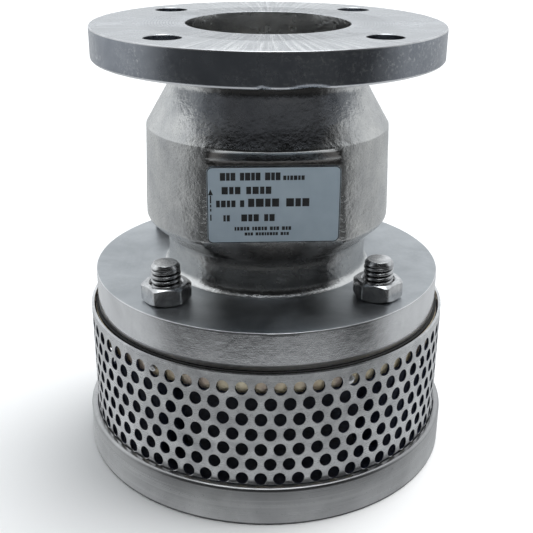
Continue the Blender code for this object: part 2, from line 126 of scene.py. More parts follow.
# Inner parts
PLATE_LOW = 78.7 * MM
PLATE_TOP = 86.7 * MM
PLATE_LIP = 76.4 * MM  # the plate's edge is turned down to here, and shows through the top row of holes
STEM_R = 6 * MM
STEM_BORE_R = 6.25 * MM
BUSH_R = 7.97 * MM


# ---------------------------------------------------------------- mesh helpers


def rounded(corners, steps=6):
    """A closed outline from (radius, height, fillet) corners, each fillet drawn as an arc."""
    points = []
    for index, (radius, height, fillet) in enumerate(corners):
        corner = Vector((radius, height))
        if fillet == 0:
            points.append(tuple(corner))
            continue
        before = (Vector(corners[index - 1][:2]) - corner).normalized()
        after = (Vector(corners[(index + 1) % len(corners)][:2]) - corner).normalized()
        half = before.angle(after) / 2
        centre = corner + (before + after).normalized() * fillet / math.sin(half)
        start = corner + before * fillet / math.tan(half) - centre
        sweep = math.pi - 2 * half
        if before.x * after.y - before.y * after.x > 0:
            sweep = -sweep
        for step in range(steps + 1):
            angle = sweep * step / steps
            turned = (
                start.x * math.cos(angle) - start.y * math.sin(angle),
                start.x * math.sin(angle) + start.y * math.cos(angle),
            )
            points.append((centre.x + turned[0], centre.y + turned[1]))
    return points


def refined(points, step, closed=True):
    """The same outline with no stretch longer than step."""
    found = []
    pairs = list(zip(points, points[1:] + points[:1])) if closed else list(zip(points, points[1:]))
    for (r0, z0), (r1, z1) in pairs:
        pieces = max(1, math.ceil(math.hypot(r1 - r0, z1 - z0) / step))
        found += [(r0 + (r1 - r0) * part / pieces, z0 + (z1 - z0) * part / pieces) for part in range(pieces)]
    if not closed:
        found.append(points[-1])
    return found


def ring_angles(columns):
    return np.arange(columns) * math.tau / columns


def turned_rows(points, columns):
    """An array of rows of points, one row around the axis for each outline point."""
    angles = ring_angles(columns)
    radii = np.array([point[0] for point in points])[:, None]
    heights = np.array([point[1] for point in points])[:, None]
    shape = (len(points), columns)
    rows = (radii * np.cos(angles), radii * np.sin(angles), np.broadcast_to(heights, shape))
    return np.stack(rows, axis=-1)


def mesh_from_rows(name, rows, closed=True, caps=False):
    """Quads between rows of points that each run round in a ring."""
    count, columns = rows.shape[:2]
    index = np.arange(count * columns).reshape(count, columns)
    last = count if closed else count - 1
    lower = index[:last]
    upper = np.roll(index, -1, axis=0)[:last]
    quads = np.stack((lower, np.roll(lower, -1, 1), np.roll(upper, -1, 1), upper), -1).reshape(-1, 4)
    faces = quads.tolist()
    if caps:
        faces += [index[0].tolist(), index[-1].tolist()]
    mesh = bpy.data.meshes.new(name)
    mesh.from_pydata(rows.reshape(-1, 3).tolist(), [], faces)
    fix_normals(mesh)
    return mesh


def fix_normals(mesh):
    bm = bmesh.new()
    bm.from_mesh(mesh)
    bmesh.ops.recalc_face_normals(bm, faces=bm.faces)
    bm.to_mesh(mesh)
    bm.free()


def add_object(name, mesh, materials, sharp=35):
    mesh.shade_smooth()
    mesh.set_sharp_from_angle(angle=math.radians(sharp))
    piece = bpy.data.objects.new(name, mesh)
    bpy.context.scene.collection.objects.link(piece)
    for material in materials:
        mesh.materials.append(material)
    return piece


def lathe(name, corners, material, columns=COLUMNS, steps=5, sharp=35):
    rows = turned_rows(rounded(corners, steps), columns)
    return add_object(name, mesh_from_rows(name, rows), [material], sharp)


def boolean(piece, tool, operation):
    """Applies one exact Boolean and removes the tool."""
    modifier = piece.modifiers.new("cut", "BOOLEAN")
    modifier.operation = operation
    modifier.solver = "EXACT"
    modifier.object = tool
    graph = bpy.context.evaluated_depsgraph_get()
    mesh = bpy.data.meshes.new_from_object(piece.evaluated_get(graph), depsgraph=graph)
    piece.modifiers.remove(modifier)
    old = piece.data
    piece.data = mesh
    bpy.data.meshes.remove(old)
    bpy.data.objects.remove(tool, do_unlink=True)
    mesh.shade_smooth()
    mesh.set_sharp_from_angle(angle=math.radians(35))


def place(piece, body, slot, *nodes):
    """Says which body a piece moves with and which CAD nodes it stands for; its slot is not used."""
    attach(piece, body)
    if nodes:
        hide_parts(*nodes)
    return piece


def drill(piece, circle_r, hole_r, low, high, chamfer):
    """Cuts four upright holes with a flare where they meet each face."""
    bm = bmesh.new()
    far = 2 * MM
    profile = [
        (hole_r + chamfer + far, low - far),
        (hole_r, low + chamfer),
        (hole_r, high - chamfer),
        (hole_r + chamfer + far, high + far),
    ]
    for angle in BOLT_ANGLES:
        rows = turned_rows(profile, SMALL_COLUMNS // 2)
        rows += np.array((circle_r * math.cos(angle), circle_r * math.sin(angle), 0))
        mesh = mesh_from_rows("drill", rows, closed=False, caps=True)
        bm.from_mesh(mesh)
        bpy.data.meshes.remove(mesh)
    mesh = bpy.data.meshes.new("drill")
    bm.to_mesh(mesh)
    bm.free()
    boolean(piece, add_object("drill", mesh, []), "DIFFERENCE")


def block(name, low, high, bevel):
    """A box with rounded edges."""
    bm = bmesh.new()
    bmesh.ops.create_cube(bm, size=1)
    size = [high[axis] - low[axis] for axis in range(3)]
    centre = [(high[axis] + low[axis]) / 2 for axis in range(3)]
    bmesh.ops.scale(bm, vec=size, verts=bm.verts)
    bmesh.ops.translate(bm, vec=centre, verts=bm.verts)
    bmesh.ops.bevel(bm, geom=bm.edges[:], offset=bevel, segments=3, profile=0.5, affect="EDGES")
    mesh = bpy.data.meshes.new(name)
    bm.to_mesh(mesh)
    bm.free()
    return add_object(name, mesh, [])


# ---------------------------------------------------------------- materials


class Shader:
    """A material's node tree, with short calls for the nodes that the finishes share."""

    def __init__(self, name, colour, metallic, roughness):
        self.material = bpy.data.materials.new(name)
        self.material.use_nodes = True
        self.tree = self.material.node_tree
        self.surface = self.tree.nodes["Principled BSDF"]
        self.surface.inputs["Base Color"].default_value = (*colour, 1)
        self.surface.inputs["Metallic"].default_value = metallic
        self.surface.inputs["Roughness"].default_value = roughness
        self.normal = None
        self.place = self.add("ShaderNodeTexCoord").outputs["Object"]

    def add(self, kind, values=None, links=None, **settings):
        node = self.tree.nodes.new(kind)
        for key, value in settings.items():
            setattr(node, key, value)
        for key, value in (values or {}).items():
            node.inputs[key].default_value = value
        for key, socket in (links or {}).items():
            self.tree.links.new(socket, node.inputs[key])
        return node

    def stretched(self, scale):
        """The place on the piece, scaled differently along each axis."""
        return self.add("ShaderNodeMapping", {"Scale": scale}, {"Vector": self.place}).outputs["Vector"]

    def noise(self, scale, detail=3.0, roughness=0.55, distortion=0.0, place=None):
        values = {"Scale": scale, "Detail": detail, "Roughness": roughness, "Distortion": distortion}
        return self.add("ShaderNodeTexNoise", values, {"Vector": place or self.place}).outputs["Fac"]

    def math(self, operation, first, second=0.0, third=0.0):
        node = self.add("ShaderNodeMath", operation=operation)
        for index, value in enumerate((first, second, third)):
            if isinstance(value, (int, float)):
                node.inputs[index].default_value = value
            else:
                self.tree.links.new(value, node.inputs[index])
        return node.outputs["Value"]

    def span(self, factor, low, high, to_low=0.0, to_high=1.0):
        """Maps low..high of a factor onto another range, held at both ends."""
        values = {"From Min": low, "From Max": high, "To Min": to_low, "To Max": to_high}
        return self.add("ShaderNodeMapRange", values, {"Value": factor}).outputs["Result"]

    def mix(self, factor, first, second):
        """Blends two colours, each a tuple or a socket."""
        node = self.add("ShaderNodeMix", data_type="RGBA")
        self.tree.links.new(factor, node.inputs["Factor"])
        for name, value in (("A", first), ("B", second)):
            socket = next(item for item in node.inputs if item.name == name and item.type == "RGBA")
            if isinstance(value, tuple):
                socket.default_value = (*value, 1)
            else:
                self.tree.links.new(value, socket)
        return next(item for item in node.outputs if item.type == "RGBA")

    def radius(self):
        """The distance from the valve's axis."""
        parts = self.add("ShaderNodeSeparateXYZ", links={"Vector": self.place})
        across = self.math("MULTIPLY", parts.outputs["X"], parts.outputs["X"])
        total = self.math("MULTIPLY_ADD", parts.outputs["Y"], parts.outputs["Y"], across)
        return self.math("SQRT", total)

    def height(self):
        return self.add("ShaderNodeSeparateXYZ", links={"Vector": self.place}).outputs["Z"]

    def colour(self, socket):
        self.tree.links.new(socket, self.surface.inputs["Base Color"])

    def roughness(self, socket):
        self.tree.links.new(socket, self.surface.inputs["Roughness"])

    def bump(self, height, distance, strength=1.0):
        node = self.add("ShaderNodeBump", {"Strength": strength, "Distance": distance}, {"Height": height})
        if self.normal:
            self.tree.links.new(self.normal, node.inputs["Normal"])
        self.normal = node.outputs["Normal"]
        self.tree.links.new(self.normal, self.surface.inputs["Normal"])


def cast_skin():
    """Blasted stainless casting: fine grain, slow waves, cloudy tone, painted highlights along its edges and
    fillet, and painted shade under and around its overhangs.
    """
    skin = Shader("cast_stainless", (0.6, 0.6, 0.58), 1.0, 0.27)
    clouds = skin.noise(45, 5, 0.6)
    grain = skin.noise(480, 3, 0.6)
    fine = skin.noise(1100, 3, 0.6)
    brightening = skin.add("ShaderNodeAttribute", attribute_name="brightening").outputs["Fac"]
    dark = skin.add("ShaderNodeAttribute", attribute_name="dark").outputs["Fac"]
    tone = skin.mix(skin.span(clouds, 0.32, 0.68), (0.52, 0.525, 0.53), (0.76, 0.755, 0.735))
    tone = skin.mix(skin.span(fine, 0.3, 0.5, 0.3, 0.0), tone, (0.22, 0.22, 0.23))
    # Painted highlight: the brightening attribute lightens the pad's edges and the waist's fillet, partly
    # wear.
    tone = skin.mix(brightening, tone, (0.86, 0.86, 0.85))
    # Painted shade: the dark attribute darkens the overhangs and the nameplate's surround, and paints a dark
    # reflection on the cone's front.
    skin.colour(skin.mix(skin.math("MULTIPLY", dark, 0.9), tone, (0.085, 0.075, 0.07)))
    rough = skin.span(skin.noise(150, 3), 0.3, 0.7, 0.19, 0.3)
    skin.roughness(skin.math("MULTIPLY_ADD", brightening, -0.05, rough))
    skin.bump(skin.noise(95, 2), 0.9 * MM, 0.45)
    skin.bump(grain, 0.32 * MM, 0.8)
    skin.bump(fine, 0.07 * MM, 0.8)
    return skin.material


def faced_steel():
    """The outlet flange's turned face: fine lines, handling marks, painted dark groove lines beside the bore,
    and pale and dark streaks fore and aft of the bore painted as glints and reflections.
    """
    face = Shader("faced_stainless", (0.62, 0.63, 0.65), 1.0, 0.25)
    radius = face.radius()
    fine = face.math("SINE", face.math("MULTIPLY", radius, math.tau / (0.45 * MM)))
    brightening = face.noise(60, 5, 0.6)
    marks = face.span(face.noise(1.0, 3, 0.6, 0.5, face.stretched((40, 260, 10))), 0.6, 0.75)
    tone = face.mix(face.span(brightening, 0.3, 0.7), (0.52, 0.53, 0.55), (0.68, 0.69, 0.71))
    tone = face.mix(face.math("MULTIPLY", marks, 0.35), tone, (0.85, 0.85, 0.86))
    parts = face.add("ShaderNodeSeparateXYZ", links={"Vector": face.place}).outputs
    turn = face.math("ARCTAN2", parts["Y"], parts["X"])
    sweep = {"X": face.math("MULTIPLY", turn, 38.0), "Y": face.math("MULTIPLY", radius, 14.0)}
    fan = face.add("ShaderNodeCombineXYZ", links=sweep)
    streaks = face.noise(1.0, 4, 0.7, place=fan.outputs["Vector"])
    # Painted glints: pale and dark streaks fore and aft of the bore stand for the turned face's reflections.
    painted_glint_zone = face.math("POWER", face.math("ABSOLUTE", face.math("SINE", turn)), 3.0)
    pale = face.math("MULTIPLY", face.span(streaks, 0.5, 0.62), painted_glint_zone)
    painted_dark_streaks = face.math("MULTIPLY", face.span(streaks, 0.5, 0.38), painted_glint_zone)
    tone = face.mix(face.math("MULTIPLY", pale, 0.75), tone, (0.98, 0.98, 0.98))
    tone = face.mix(face.math("MULTIPLY", painted_dark_streaks, 0.3), tone, (0.3, 0.31, 0.33))
    # Painted shade: dark lines along the turning grooves, only left and right of the bore.
    coarse = face.math("SINE", face.math("MULTIPLY", radius, math.tau / (1.6 * MM)))
    ringed = face.math("MULTIPLY", face.span(radius, 47 * MM, 52 * MM), face.span(radius, 70 * MM, 64 * MM))
    beside = face.math("POWER", face.math("ABSOLUTE", face.math("COSINE", turn)), 6.0)
    ringed = face.math("MULTIPLY", ringed, beside)
    lines = face.math("MULTIPLY", face.span(coarse, 0.2, 0.9), ringed)
    face.colour(face.mix(face.math("MULTIPLY", lines, 0.45), tone, (0.2, 0.21, 0.24)))
    face.roughness(face.span(brightening, 0.3, 0.7, 0.2, 0.32))
    face.bump(fine, 0.012 * MM, 0.5)
    face.bump(face.noise(500, 3), 0.04 * MM, 0.3)
    face.surface.inputs["Anisotropic"].default_value = 0.75
    tangent = face.add("ShaderNodeTangent", direction_type="RADIAL", axis="Z")
    face.tree.links.new(tangent.outputs["Tangent"], face.surface.inputs["Tangent"])
    return face.material


def rim_steel(name, light, dark, roughness, scuffing):
    """A turned surface: fine lines, cloudy patches, and scuffed patches with small scratches and pits."""
    rim = Shader(name, light, 1.0, roughness)
    lines = rim.noise(1.0, 4, 0.6, place=rim.stretched((60, 60, 2600)))
    clouds = rim.noise(30, 5, 0.6, 0.4)
    fine = rim.noise(520, 7, 0.75)
    patches = rim.span(rim.noise(26, 3, 0.5, 0.6), 0.42, 0.56)
    scuffs = rim.math("MULTIPLY", rim.span(fine, 0.52, 0.66), patches)
    pits = rim.math("MULTIPLY", rim.span(fine, 0.36, 0.3), patches)
    tone = rim.mix(rim.span(clouds, 0.35, 0.65), dark, light)
    tone = rim.mix(rim.math("MULTIPLY", scuffs, scuffing), tone, (0.85, 0.86, 0.86))
    rim.colour(rim.mix(rim.math("MULTIPLY", pits, scuffing), tone, (0.03, 0.03, 0.035)))
    rim.roughness(rim.span(clouds, 0.3, 0.7, roughness - 0.06, roughness + 0.08))
    rim.bump(lines, 0.03 * MM, 0.6)
    rim.bump(rim.noise(260, 5, 0.65), 0.1 * MM, 0.6)
    return rim.material


def sheet_steel():
    """The screen's rolled sheet: pale and satin, lightly rubbed along its length, a little uneven."""
    steel = Shader("perforated_stainless", (0.85, 0.85, 0.85), 1.0, 0.3)
    clouds = steel.noise(70, 5, 0.65, 0.5)
    rubs = steel.noise(1.0, 3, 0.6, place=steel.stretched((120, 120, 1500)))
    fine = steel.noise(900, 5, 0.7)
    tone = steel.mix(steel.span(clouds, 0.3, 0.7), (0.55, 0.55, 0.56), (0.9, 0.9, 0.9))
    steel.colour(steel.mix(steel.span(fine, 0.42, 0.3, 0.0, 0.7), tone, (0.25, 0.25, 0.27)))
    steel.roughness(steel.span(rubs, 0.3, 0.7, 0.24, 0.38))
    steel.bump(steel.noise(60, 2), 0.5 * MM, 0.5)
    steel.bump(rubs, 0.02 * MM, 0.5)
    steel.bump(fine, 0.06 * MM, 0.6)
    return steel.material


def painted_shade_steel():
    """The strainer's inside: the screen's inner face and holes, the base's floor and the bolts within, near
    black as painted shade, and dull.
    """
    steel = Shader("painted_shade_steel", (0.035, 0.038, 0.05), 0.6, 0.6)
    grain = steel.noise(300, 4)
    steel.colour(steel.mix(steel.span(grain, 0.3, 0.7), (0.006, 0.008, 0.02), (0.04, 0.05, 0.09)))
    steel.roughness(steel.span(steel.noise(150, 2), 0.3, 0.7, 0.5, 0.7))
    steel.bump(grain, 0.05 * MM, 0.5)
    return steel.material


def base_steel():
    """The base's turned stainless steel: level lines, cloudy patches, and a near-black painted contact shadow
    over its lowest 1.5 mm.
    """
    steel = Shader("machined_stainless", (0.42, 0.42, 0.42), 1.0, 0.3)
    lines = steel.noise(1.0, 6, 0.7, place=steel.stretched((10, 10, 1900)))
    deep = steel.noise(1.0, 3, 0.6, place=steel.stretched((6, 6, 420)))
    clouds = steel.noise(26, 4, 0.6, 0.4)
    fine = steel.noise(700, 5, 0.7)
    tone = steel.mix(steel.span(clouds, 0.3, 0.7), (0.4, 0.4, 0.4), (0.62, 0.62, 0.62))
    stains = steel.span(steel.noise(11, 3, 0.5, 0.5), 0.42, 0.62, 0.0, 0.4)
    tone = steel.mix(stains, tone, (0.24, 0.235, 0.25))
    tone = steel.mix(steel.span(deep, 0.5, 0.7, 0.0, 0.5), tone, (0.62, 0.62, 0.62))
    tone = steel.mix(steel.span(fine, 0.4, 0.3, 0.0, 0.5), tone, (0.16, 0.16, 0.16))
    # Painted contact shadow: near black at the base's lowest 1.5 mm, its underside too.
    painted_contact_shadow = steel.span(steel.height(), 1.5 * MM, 0.7 * MM)
    steel.colour(steel.mix(painted_contact_shadow, tone, (0.012, 0.012, 0.014)))
    steel.roughness(steel.span(lines, 0.3, 0.7, 0.24, 0.4))
    steel.bump(lines, 0.04 * MM, 0.7)
    steel.bump(deep, 0.08 * MM, 0.5)
    steel.bump(fine, 0.05 * MM, 0.4)
    return steel.material


def fastener_steel():
    """Smooth rolled steel, almost mirror-bright under a thin dark film, with painted shade near black in the
    thread roots.
    """
    steel = Shader("fastener_steel", (0.4, 0.4, 0.41), 1.0, 0.22)
    clouds = steel.noise(220, 5, 0.6)
    fine = steel.noise(900, 4, 0.7)
    tone = steel.mix(steel.span(clouds, 0.35, 0.65), (0.55, 0.55, 0.56), (0.82, 0.82, 0.82))
    painted_root_shade = steel.add("ShaderNodeAttribute", attribute_name="dark").outputs["Fac"]
    # Painted shade in the thread roots, from the dark attribute.
    steel.colour(steel.mix(steel.math("MULTIPLY", painted_root_shade, 0.95), tone, (0.02, 0.02, 0.023)))
    steel.roughness(steel.span(steel.noise(400, 3), 0.3, 0.7, 0.18, 0.27))
    steel.bump(fine, 0.012 * MM, 0.5)
    return steel.material


def turned_steel(name, colour, roughness):
    """A small turned part with fine rings."""
    steel = Shader(name, colour, 1.0, roughness)
    radius = steel.radius()
    rings = steel.math("SINE", steel.math("MULTIPLY", radius, math.tau / (0.5 * MM)))
    dull = tuple(part * 0.78 for part in colour)
    steel.colour(steel.mix(steel.span(steel.noise(90, 3), 0.35, 0.65), dull, colour))
    steel.roughness(steel.span(steel.noise(140, 3), 0.3, 0.7, roughness - 0.06, roughness + 0.08))
    steel.bump(rings, 0.01 * MM, 0.4)
    return steel.material


def bronze_skin():
    """Dull bronze, blotched darker and redder."""
    bronze = Shader("bronze", (0.55, 0.42, 0.27), 0.45, 0.45)
    blotches = bronze.noise(70, 4, 0.6)
    tone = bronze.mix(bronze.span(blotches, 0.35, 0.65), (0.72, 0.6, 0.4), (0.95, 0.87, 0.66))
    bronze.colour(bronze.mix(bronze.span(bronze.noise(38, 3), 0.5, 0.62, 0.0, 0.7), tone, (0.5, 0.4, 0.38)))
    bronze.roughness(bronze.span(bronze.noise(220, 3), 0.3, 0.7, 0.36, 0.55))
    bronze.bump(bronze.noise(500, 2), 0.06 * MM, 0.5)
    return bronze.material


def label_foil():
    """Satin silver foil with a very faint grain."""
    foil = Shader("label_foil", (0.3, 0.36, 0.41), 0.35, 0.36)
    grain = foil.noise(90, 3)
    foil.colour(foil.mix(foil.span(grain, 0.3, 0.7), (0.39, 0.475, 0.55), (0.44, 0.53, 0.6)))
    foil.roughness(foil.span(foil.noise(300, 2), 0.3, 0.7, 0.34, 0.42))
    foil.bump(foil.noise(700, 2), 0.01 * MM, 0.3)
    return foil.material


def soft_matte(name, colour, roughness, scale):
    """A dull non-metal, such as rubber, fibre sheet or ink."""
    matte = Shader(name, colour, 0.0, roughness)
    grain = matte.noise(scale, 3)
    pale = tuple(min(1.0, part * 1.5 + 0.01) for part in colour)
    matte.colour(matte.mix(matte.span(grain, 0.3, 0.8), colour, pale))
    matte.roughness(matte.span(matte.noise(scale * 2, 2), 0.3, 0.7, roughness - 0.08, roughness + 0.05))
    matte.bump(grain, 0.03 * MM, 0.4)
    return matte.material


# ---------------------------------------------------------------- casting


def soft_min(first, second, width):
    """The smaller of two values, rounded where they cross."""
    share = np.clip(0.5 + 0.5 * (second - first) / width, 0, 1)
    return second * (1 - share) + first * share - width * share * (1 - share)


def casting(materials):
    """The one-piece casting: outlet flange, barrel with its flat front pad, waist and lower flange."""
    top = BODY_HIGH.z
    low = BODY_LOW.z
    under_top = top - TOP_FLANGE_THICK
    over_low = low + LOWER_FLANGE_THICK
    lower_r = BODY_HIGH.x
    corners = [
        (OUTLET_R, top, 0.6 * MM),
        *serrations(top),
        (TOP_FLANGE_R, top, 0.8 * MM),
        (TOP_FLANGE_R, under_top + 4 * MM, 0),
        (TOP_FLANGE_R, under_top + 3.3 * MM, 0),
        (TOP_FLANGE_R, under_top + 2.6 * MM, 0),
        (TOP_FLANGE_R, under_top, 1.6 * MM),
        (NECK_R, under_top, 3 * MM),
        (NECK_R, 217.2 * MM, 8 * MM),
        (BARREL_R - 1.0 * MM, PAD_RIM_Z, 1.2 * MM),
        (BARREL_R + 0.6 * MM, 141 * MM, 5 * MM),
        (WAIST_R, WAIST_TOP, 4 * MM),
        (WAIST_R, over_low, 5.5 * MM),
        (lower_r, over_low, 0.5 * MM),
        (lower_r, over_low - 1.2 * MM, 0),
        (lower_r, over_low - 2 * MM, 0),
        (lower_r, low + 3 * MM, 0),
        (lower_r, low, 0.3 * MM),
        (50 * MM, low, 0.6 * MM),
        (50 * MM, 131 * MM, 3 * MM),
        (61 * MM, 145 * MM, 4 * MM),
        (61 * MM, 188 * MM, 4 * MM),
        (OUTLET_R, 213 * MM, 8 * MM),
    ]
    outline = refined(rounded(corners), 6 * MM)
    outline = thicken(outline, over_low + 2 * MM, under_top - 2 * MM)
    rows = turned_rows(outline, CAST_COLUMNS)
    # Painted highlight along the pad's edges and the waist's fillet, partly wear.
    brightening = np.maximum(flatten_pad(rows), 0.9 * root_line(rows, over_low))
    # Painted shade under the barrel and around the nameplate, and a painted dark reflection on the cone's
    # front.
    dark = overhangs(rows)
    roughen(rows, over_low, under_top)
    nick_edges(rows, over_low, under_top)
    mesh = mesh_from_rows("casting", rows)
    mesh.attributes.new("brightening", "FLOAT", "POINT").data.foreach_set("value", brightening.ravel())
    mesh.attributes.new("dark", "FLOAT", "POINT").data.foreach_set("value", dark.ravel())
    piece = add_object("casting", mesh, materials)
    reaches = (64 * MM, 64 * MM, 64 * MM, 56 * MM)
    boolean(piece, spider("upper_spider", reaches, 174 * MM, 192 * MM, 168 * MM, 198 * MM), "UNION")
    drill(piece, FLANGE_HOLE_CIRCLE_R, FLANGE_HOLE_R, under_top, top, 0.4 * MM)
    drill(piece, BOLT_CIRCLE_R, BOLT_HOLE_R, low, over_low, 0.3 * MM)
    paint_casting(piece, over_low, under_top)
    return piece


def serrations(top):
    """The gasket face's turned grooves, from the bore out to the bolt holes."""
    grooves = int((SERRATED_R - OUTLET_R - MM) / GROOVE_PITCH)
    points = []
    for groove in range(grooves):
        radius = OUTLET_R + MM + groove * GROOVE_PITCH
        points += [(radius, top, 0), (radius + GROOVE_PITCH / 2, top - GROOVE_DEPTH, 0)]
    points.append((OUTLET_R + MM + grooves * GROOVE_PITCH, top, 0))
    return points


def thicken(outline, low, high):
    """Adds rows on the outer skin between two heights, where the pad and the cast texture are shaped."""
    found = []
    for (r0, z0), (r1, z1) in zip(outline, outline[1:] + outline[:1]):
        outer = min(r0, r1) > 52.9 * MM and low < (z0 + z1) / 2 < high and z1 <= z0 and r0 < 70 * MM
        pieces = max(1, math.ceil(math.hypot(r1 - r0, z1 - z0) / MM)) if outer else 1
        found += [(r0 + (r1 - r0) * part / pieces, z0 + (z1 - z0) * part / pieces) for part in range(pieces)]
    return found


def flatten_pad(rows):
    """Pulls the front of the barrel back to a flat, flared at its top out to the barrel's edge.

    Returns how far each point is brightened: a painted highlight, partly wear, most along the flat's rounded
    edges."""
    x, y, z = rows[..., 0], rows[..., 1], rows[..., 2]
    radius = np.hypot(x, y)
    facing = np.maximum(-y / radius, 0.05)
    flat = PAD_Y / facing
    taper = np.clip((z - WAIST_TOP) / (BARREL_BOTTOM - WAIST_TOP), 0, 1)
    section = WAIST_R + (np.minimum(flat, BARREL_R) - WAIST_R) * taper
    flare = np.clip((z - PAD_TOP) / (PAD_RIM_Z - PAD_TOP), 0, 1)
    limit = flat * (1 - flare) + np.maximum(PAD_RIM_R, flat) * flare
    limit = np.where((z < BARREL_BOTTOM) & (flat < BARREL_R + 0.5 * MM), section, limit)
    wanted = soft_min(radius, limit, 1.0 * MM)
    inside = np.zeros(rows.shape[0], bool)
    inside[np.argmax(z[:, 0] == z[:, 0].min()) :] = True
    inside = inside[:, None]
    on_pad = (y < 0) & (z > 126 * MM) & (z < PAD_RIM_Z + 0.2 * MM) & (radius > WAIST_R - MM) & ~inside
    in_chamber = (y < 0) & (radius > 52 * MM) & (z > 134 * MM) & (z < 201 * MM) & inside
    target = np.where(on_pad, wanted, np.where(in_chamber, (PAD_Y - 6 * MM) / facing, radius))
    scale = np.minimum(target, radius) / radius
    rows[..., 0] *= scale
    rows[..., 1] *= scale
    side_edge = np.exp(-(((radius - limit) / (1.0 * MM)) ** 2)) * on_pad * (z > BARREL_BOTTOM)
    top_edge = np.exp(-(((z - PAD_RIM_Z) / (1.0 * MM)) ** 2)) * (radius > 60 * MM) * ~inside
    over_pad = np.clip((38 * MM - np.abs(x)) / (3 * MM), 0.15, 1) * np.where(y < 0, 1, 0.15)
    return np.clip(side_edge + 0.7 * top_edge * over_pad, 0, 1)


def root_line(rows, over_low):
    """How far each point lies on the fillet where the waist meets the lower flange, painted there as a bright
    highlight line that is stronger at the sides.
    """
    radius = np.hypot(rows[..., 0], rows[..., 1])
    near = np.exp(-(((rows[..., 2] - over_low - 2 * MM) / (2.2 * MM)) ** 2))
    sideways = 0.3 + 0.7 * np.clip(np.abs(rows[..., 0]) / (40 * MM), 0, 1)
    return near * sideways * (radius > WAIST_R - MM) * (radius < WAIST_R + 6 * MM)


def overhangs(rows):
    """How far each point is painted dark as shade: around the nameplate and under the barrel, with a painted
    dark reflection on the cone's front.
    """
    x, y, z = rows[..., 0], rows[..., 1], rows[..., 2]
    radius = np.hypot(x, y)
    front = (y < 0) * np.clip((LABEL_SIDE - np.abs(x)) / (2 * MM), 0, 1)
    above = np.clip((z - LABEL_HIGH.z) / MM, 0, 1) * np.clip((PAD_RIM_Z - 0.9 * MM - z) / MM, 0, 1)
    stripe = 1 - 0.5 * np.exp(-(((z - PAD_TOP - 1.2 * MM) / (0.7 * MM)) ** 2))
    under = np.clip((LABEL_LOW.z + 0.6 * MM - z) / MM, 0, 1) * np.clip((z - 124 * MM) / (6 * MM), 0, 1)
    around = np.clip((141 * MM - z) / (3 * MM), 0, 1) * np.clip((z - 128 * MM) / (3 * MM), 0, 1)
    # Painted dark reflection on the front of the cone.
    painted_dark_reflection = (y < 0) * np.clip((40 * MM - np.abs(x)) / (18 * MM), 0, 1)
    painted_dark_reflection *= np.clip((z - PAD_RIM_Z - MM) / (3 * MM), 0, 1) * (z < BODY_HIGH.z - TOP_FLANGE_THICK)
    outer = radius > NECK_R - MM
    below = (y < 0) * np.clip((52 * MM - np.abs(x)) / (24 * MM), 0, 1)
    return np.clip(front * above * stripe + 0.55 * below * under + 0.3 * around + 0.78 * painted_dark_reflection, 0, 1) * outer


def roughen(rows, low, high):
    """Slight unevenness of the cast skin between the flanges."""
    count = rows.shape[0]
    for index in range(count):
        height = rows[index, 0, 2]
        radius = math.hypot(*rows[index, 0, :2])
        if not (low + 4 * MM < height < high - 3 * MM and radius > 52.5 * MM):
            continue
        for point in rows[index]:
            here = Vector(point)
            wave = noise.noise(here * 55) * 0.16 + noise.noise(here * 170) * 0.1
            point[:2] *= 1 + wave * MM / radius


def nick_edges(rows, low, high):
    """Small chips on the flanges' front edges."""
    chips = [
        ((3 * MM, low), 8 * MM, 0.25 * MM),
        ((-4 * MM, low), 3 * MM, 0.25 * MM),
        ((14 * MM, high), 9 * MM, 0.7 * MM),
        ((-8 * MM, high), 2.2 * MM, 0.7 * MM),
    ]
    for (x, z), reach, depth in chips:
        radius = TOP_FLANGE_R if z == high else BODY_HIGH.x
        centre = np.array((x, -math.sqrt(radius**2 - x**2), z))
        away = (rows - centre) / np.array((reach, reach, 2 * MM if z == high else 0.9 * MM))
        share = np.clip(1 - np.linalg.norm(away, axis=-1), 0, 1) ** 0.6
        inward = -1 if z == low else 1
        rows[..., 2] += inward * share * depth
        rows[..., :2] *= (1 - share * depth / radius)[..., None]


def spider(name, reaches, rib_low, rib_high, hub_low, hub_high):
    """Four ribs and a bored hub, as one solid. The ribs point right, back, left and front."""
    half = 2.5 * MM
    outer, bore = 12.5 * MM, 8.3 * MM
    soft = 0.4 * MM
    corners = [(outer, hub_low, MM), (outer, hub_high, MM), (bore, hub_high, soft), (bore, hub_low, soft)]
    hub = lathe(name, corners, None, SMALL_COLUMNS)
    for quarter, reach in enumerate(reaches):
        rib = block("rib", (9.5 * MM, -half, rib_low), (reach, half, rib_high), MM)
        rib.rotation_euler.z = math.radians(90 * quarter)
        bpy.context.view_layer.update()
        boolean(hub, rib, "UNION")
    return hub


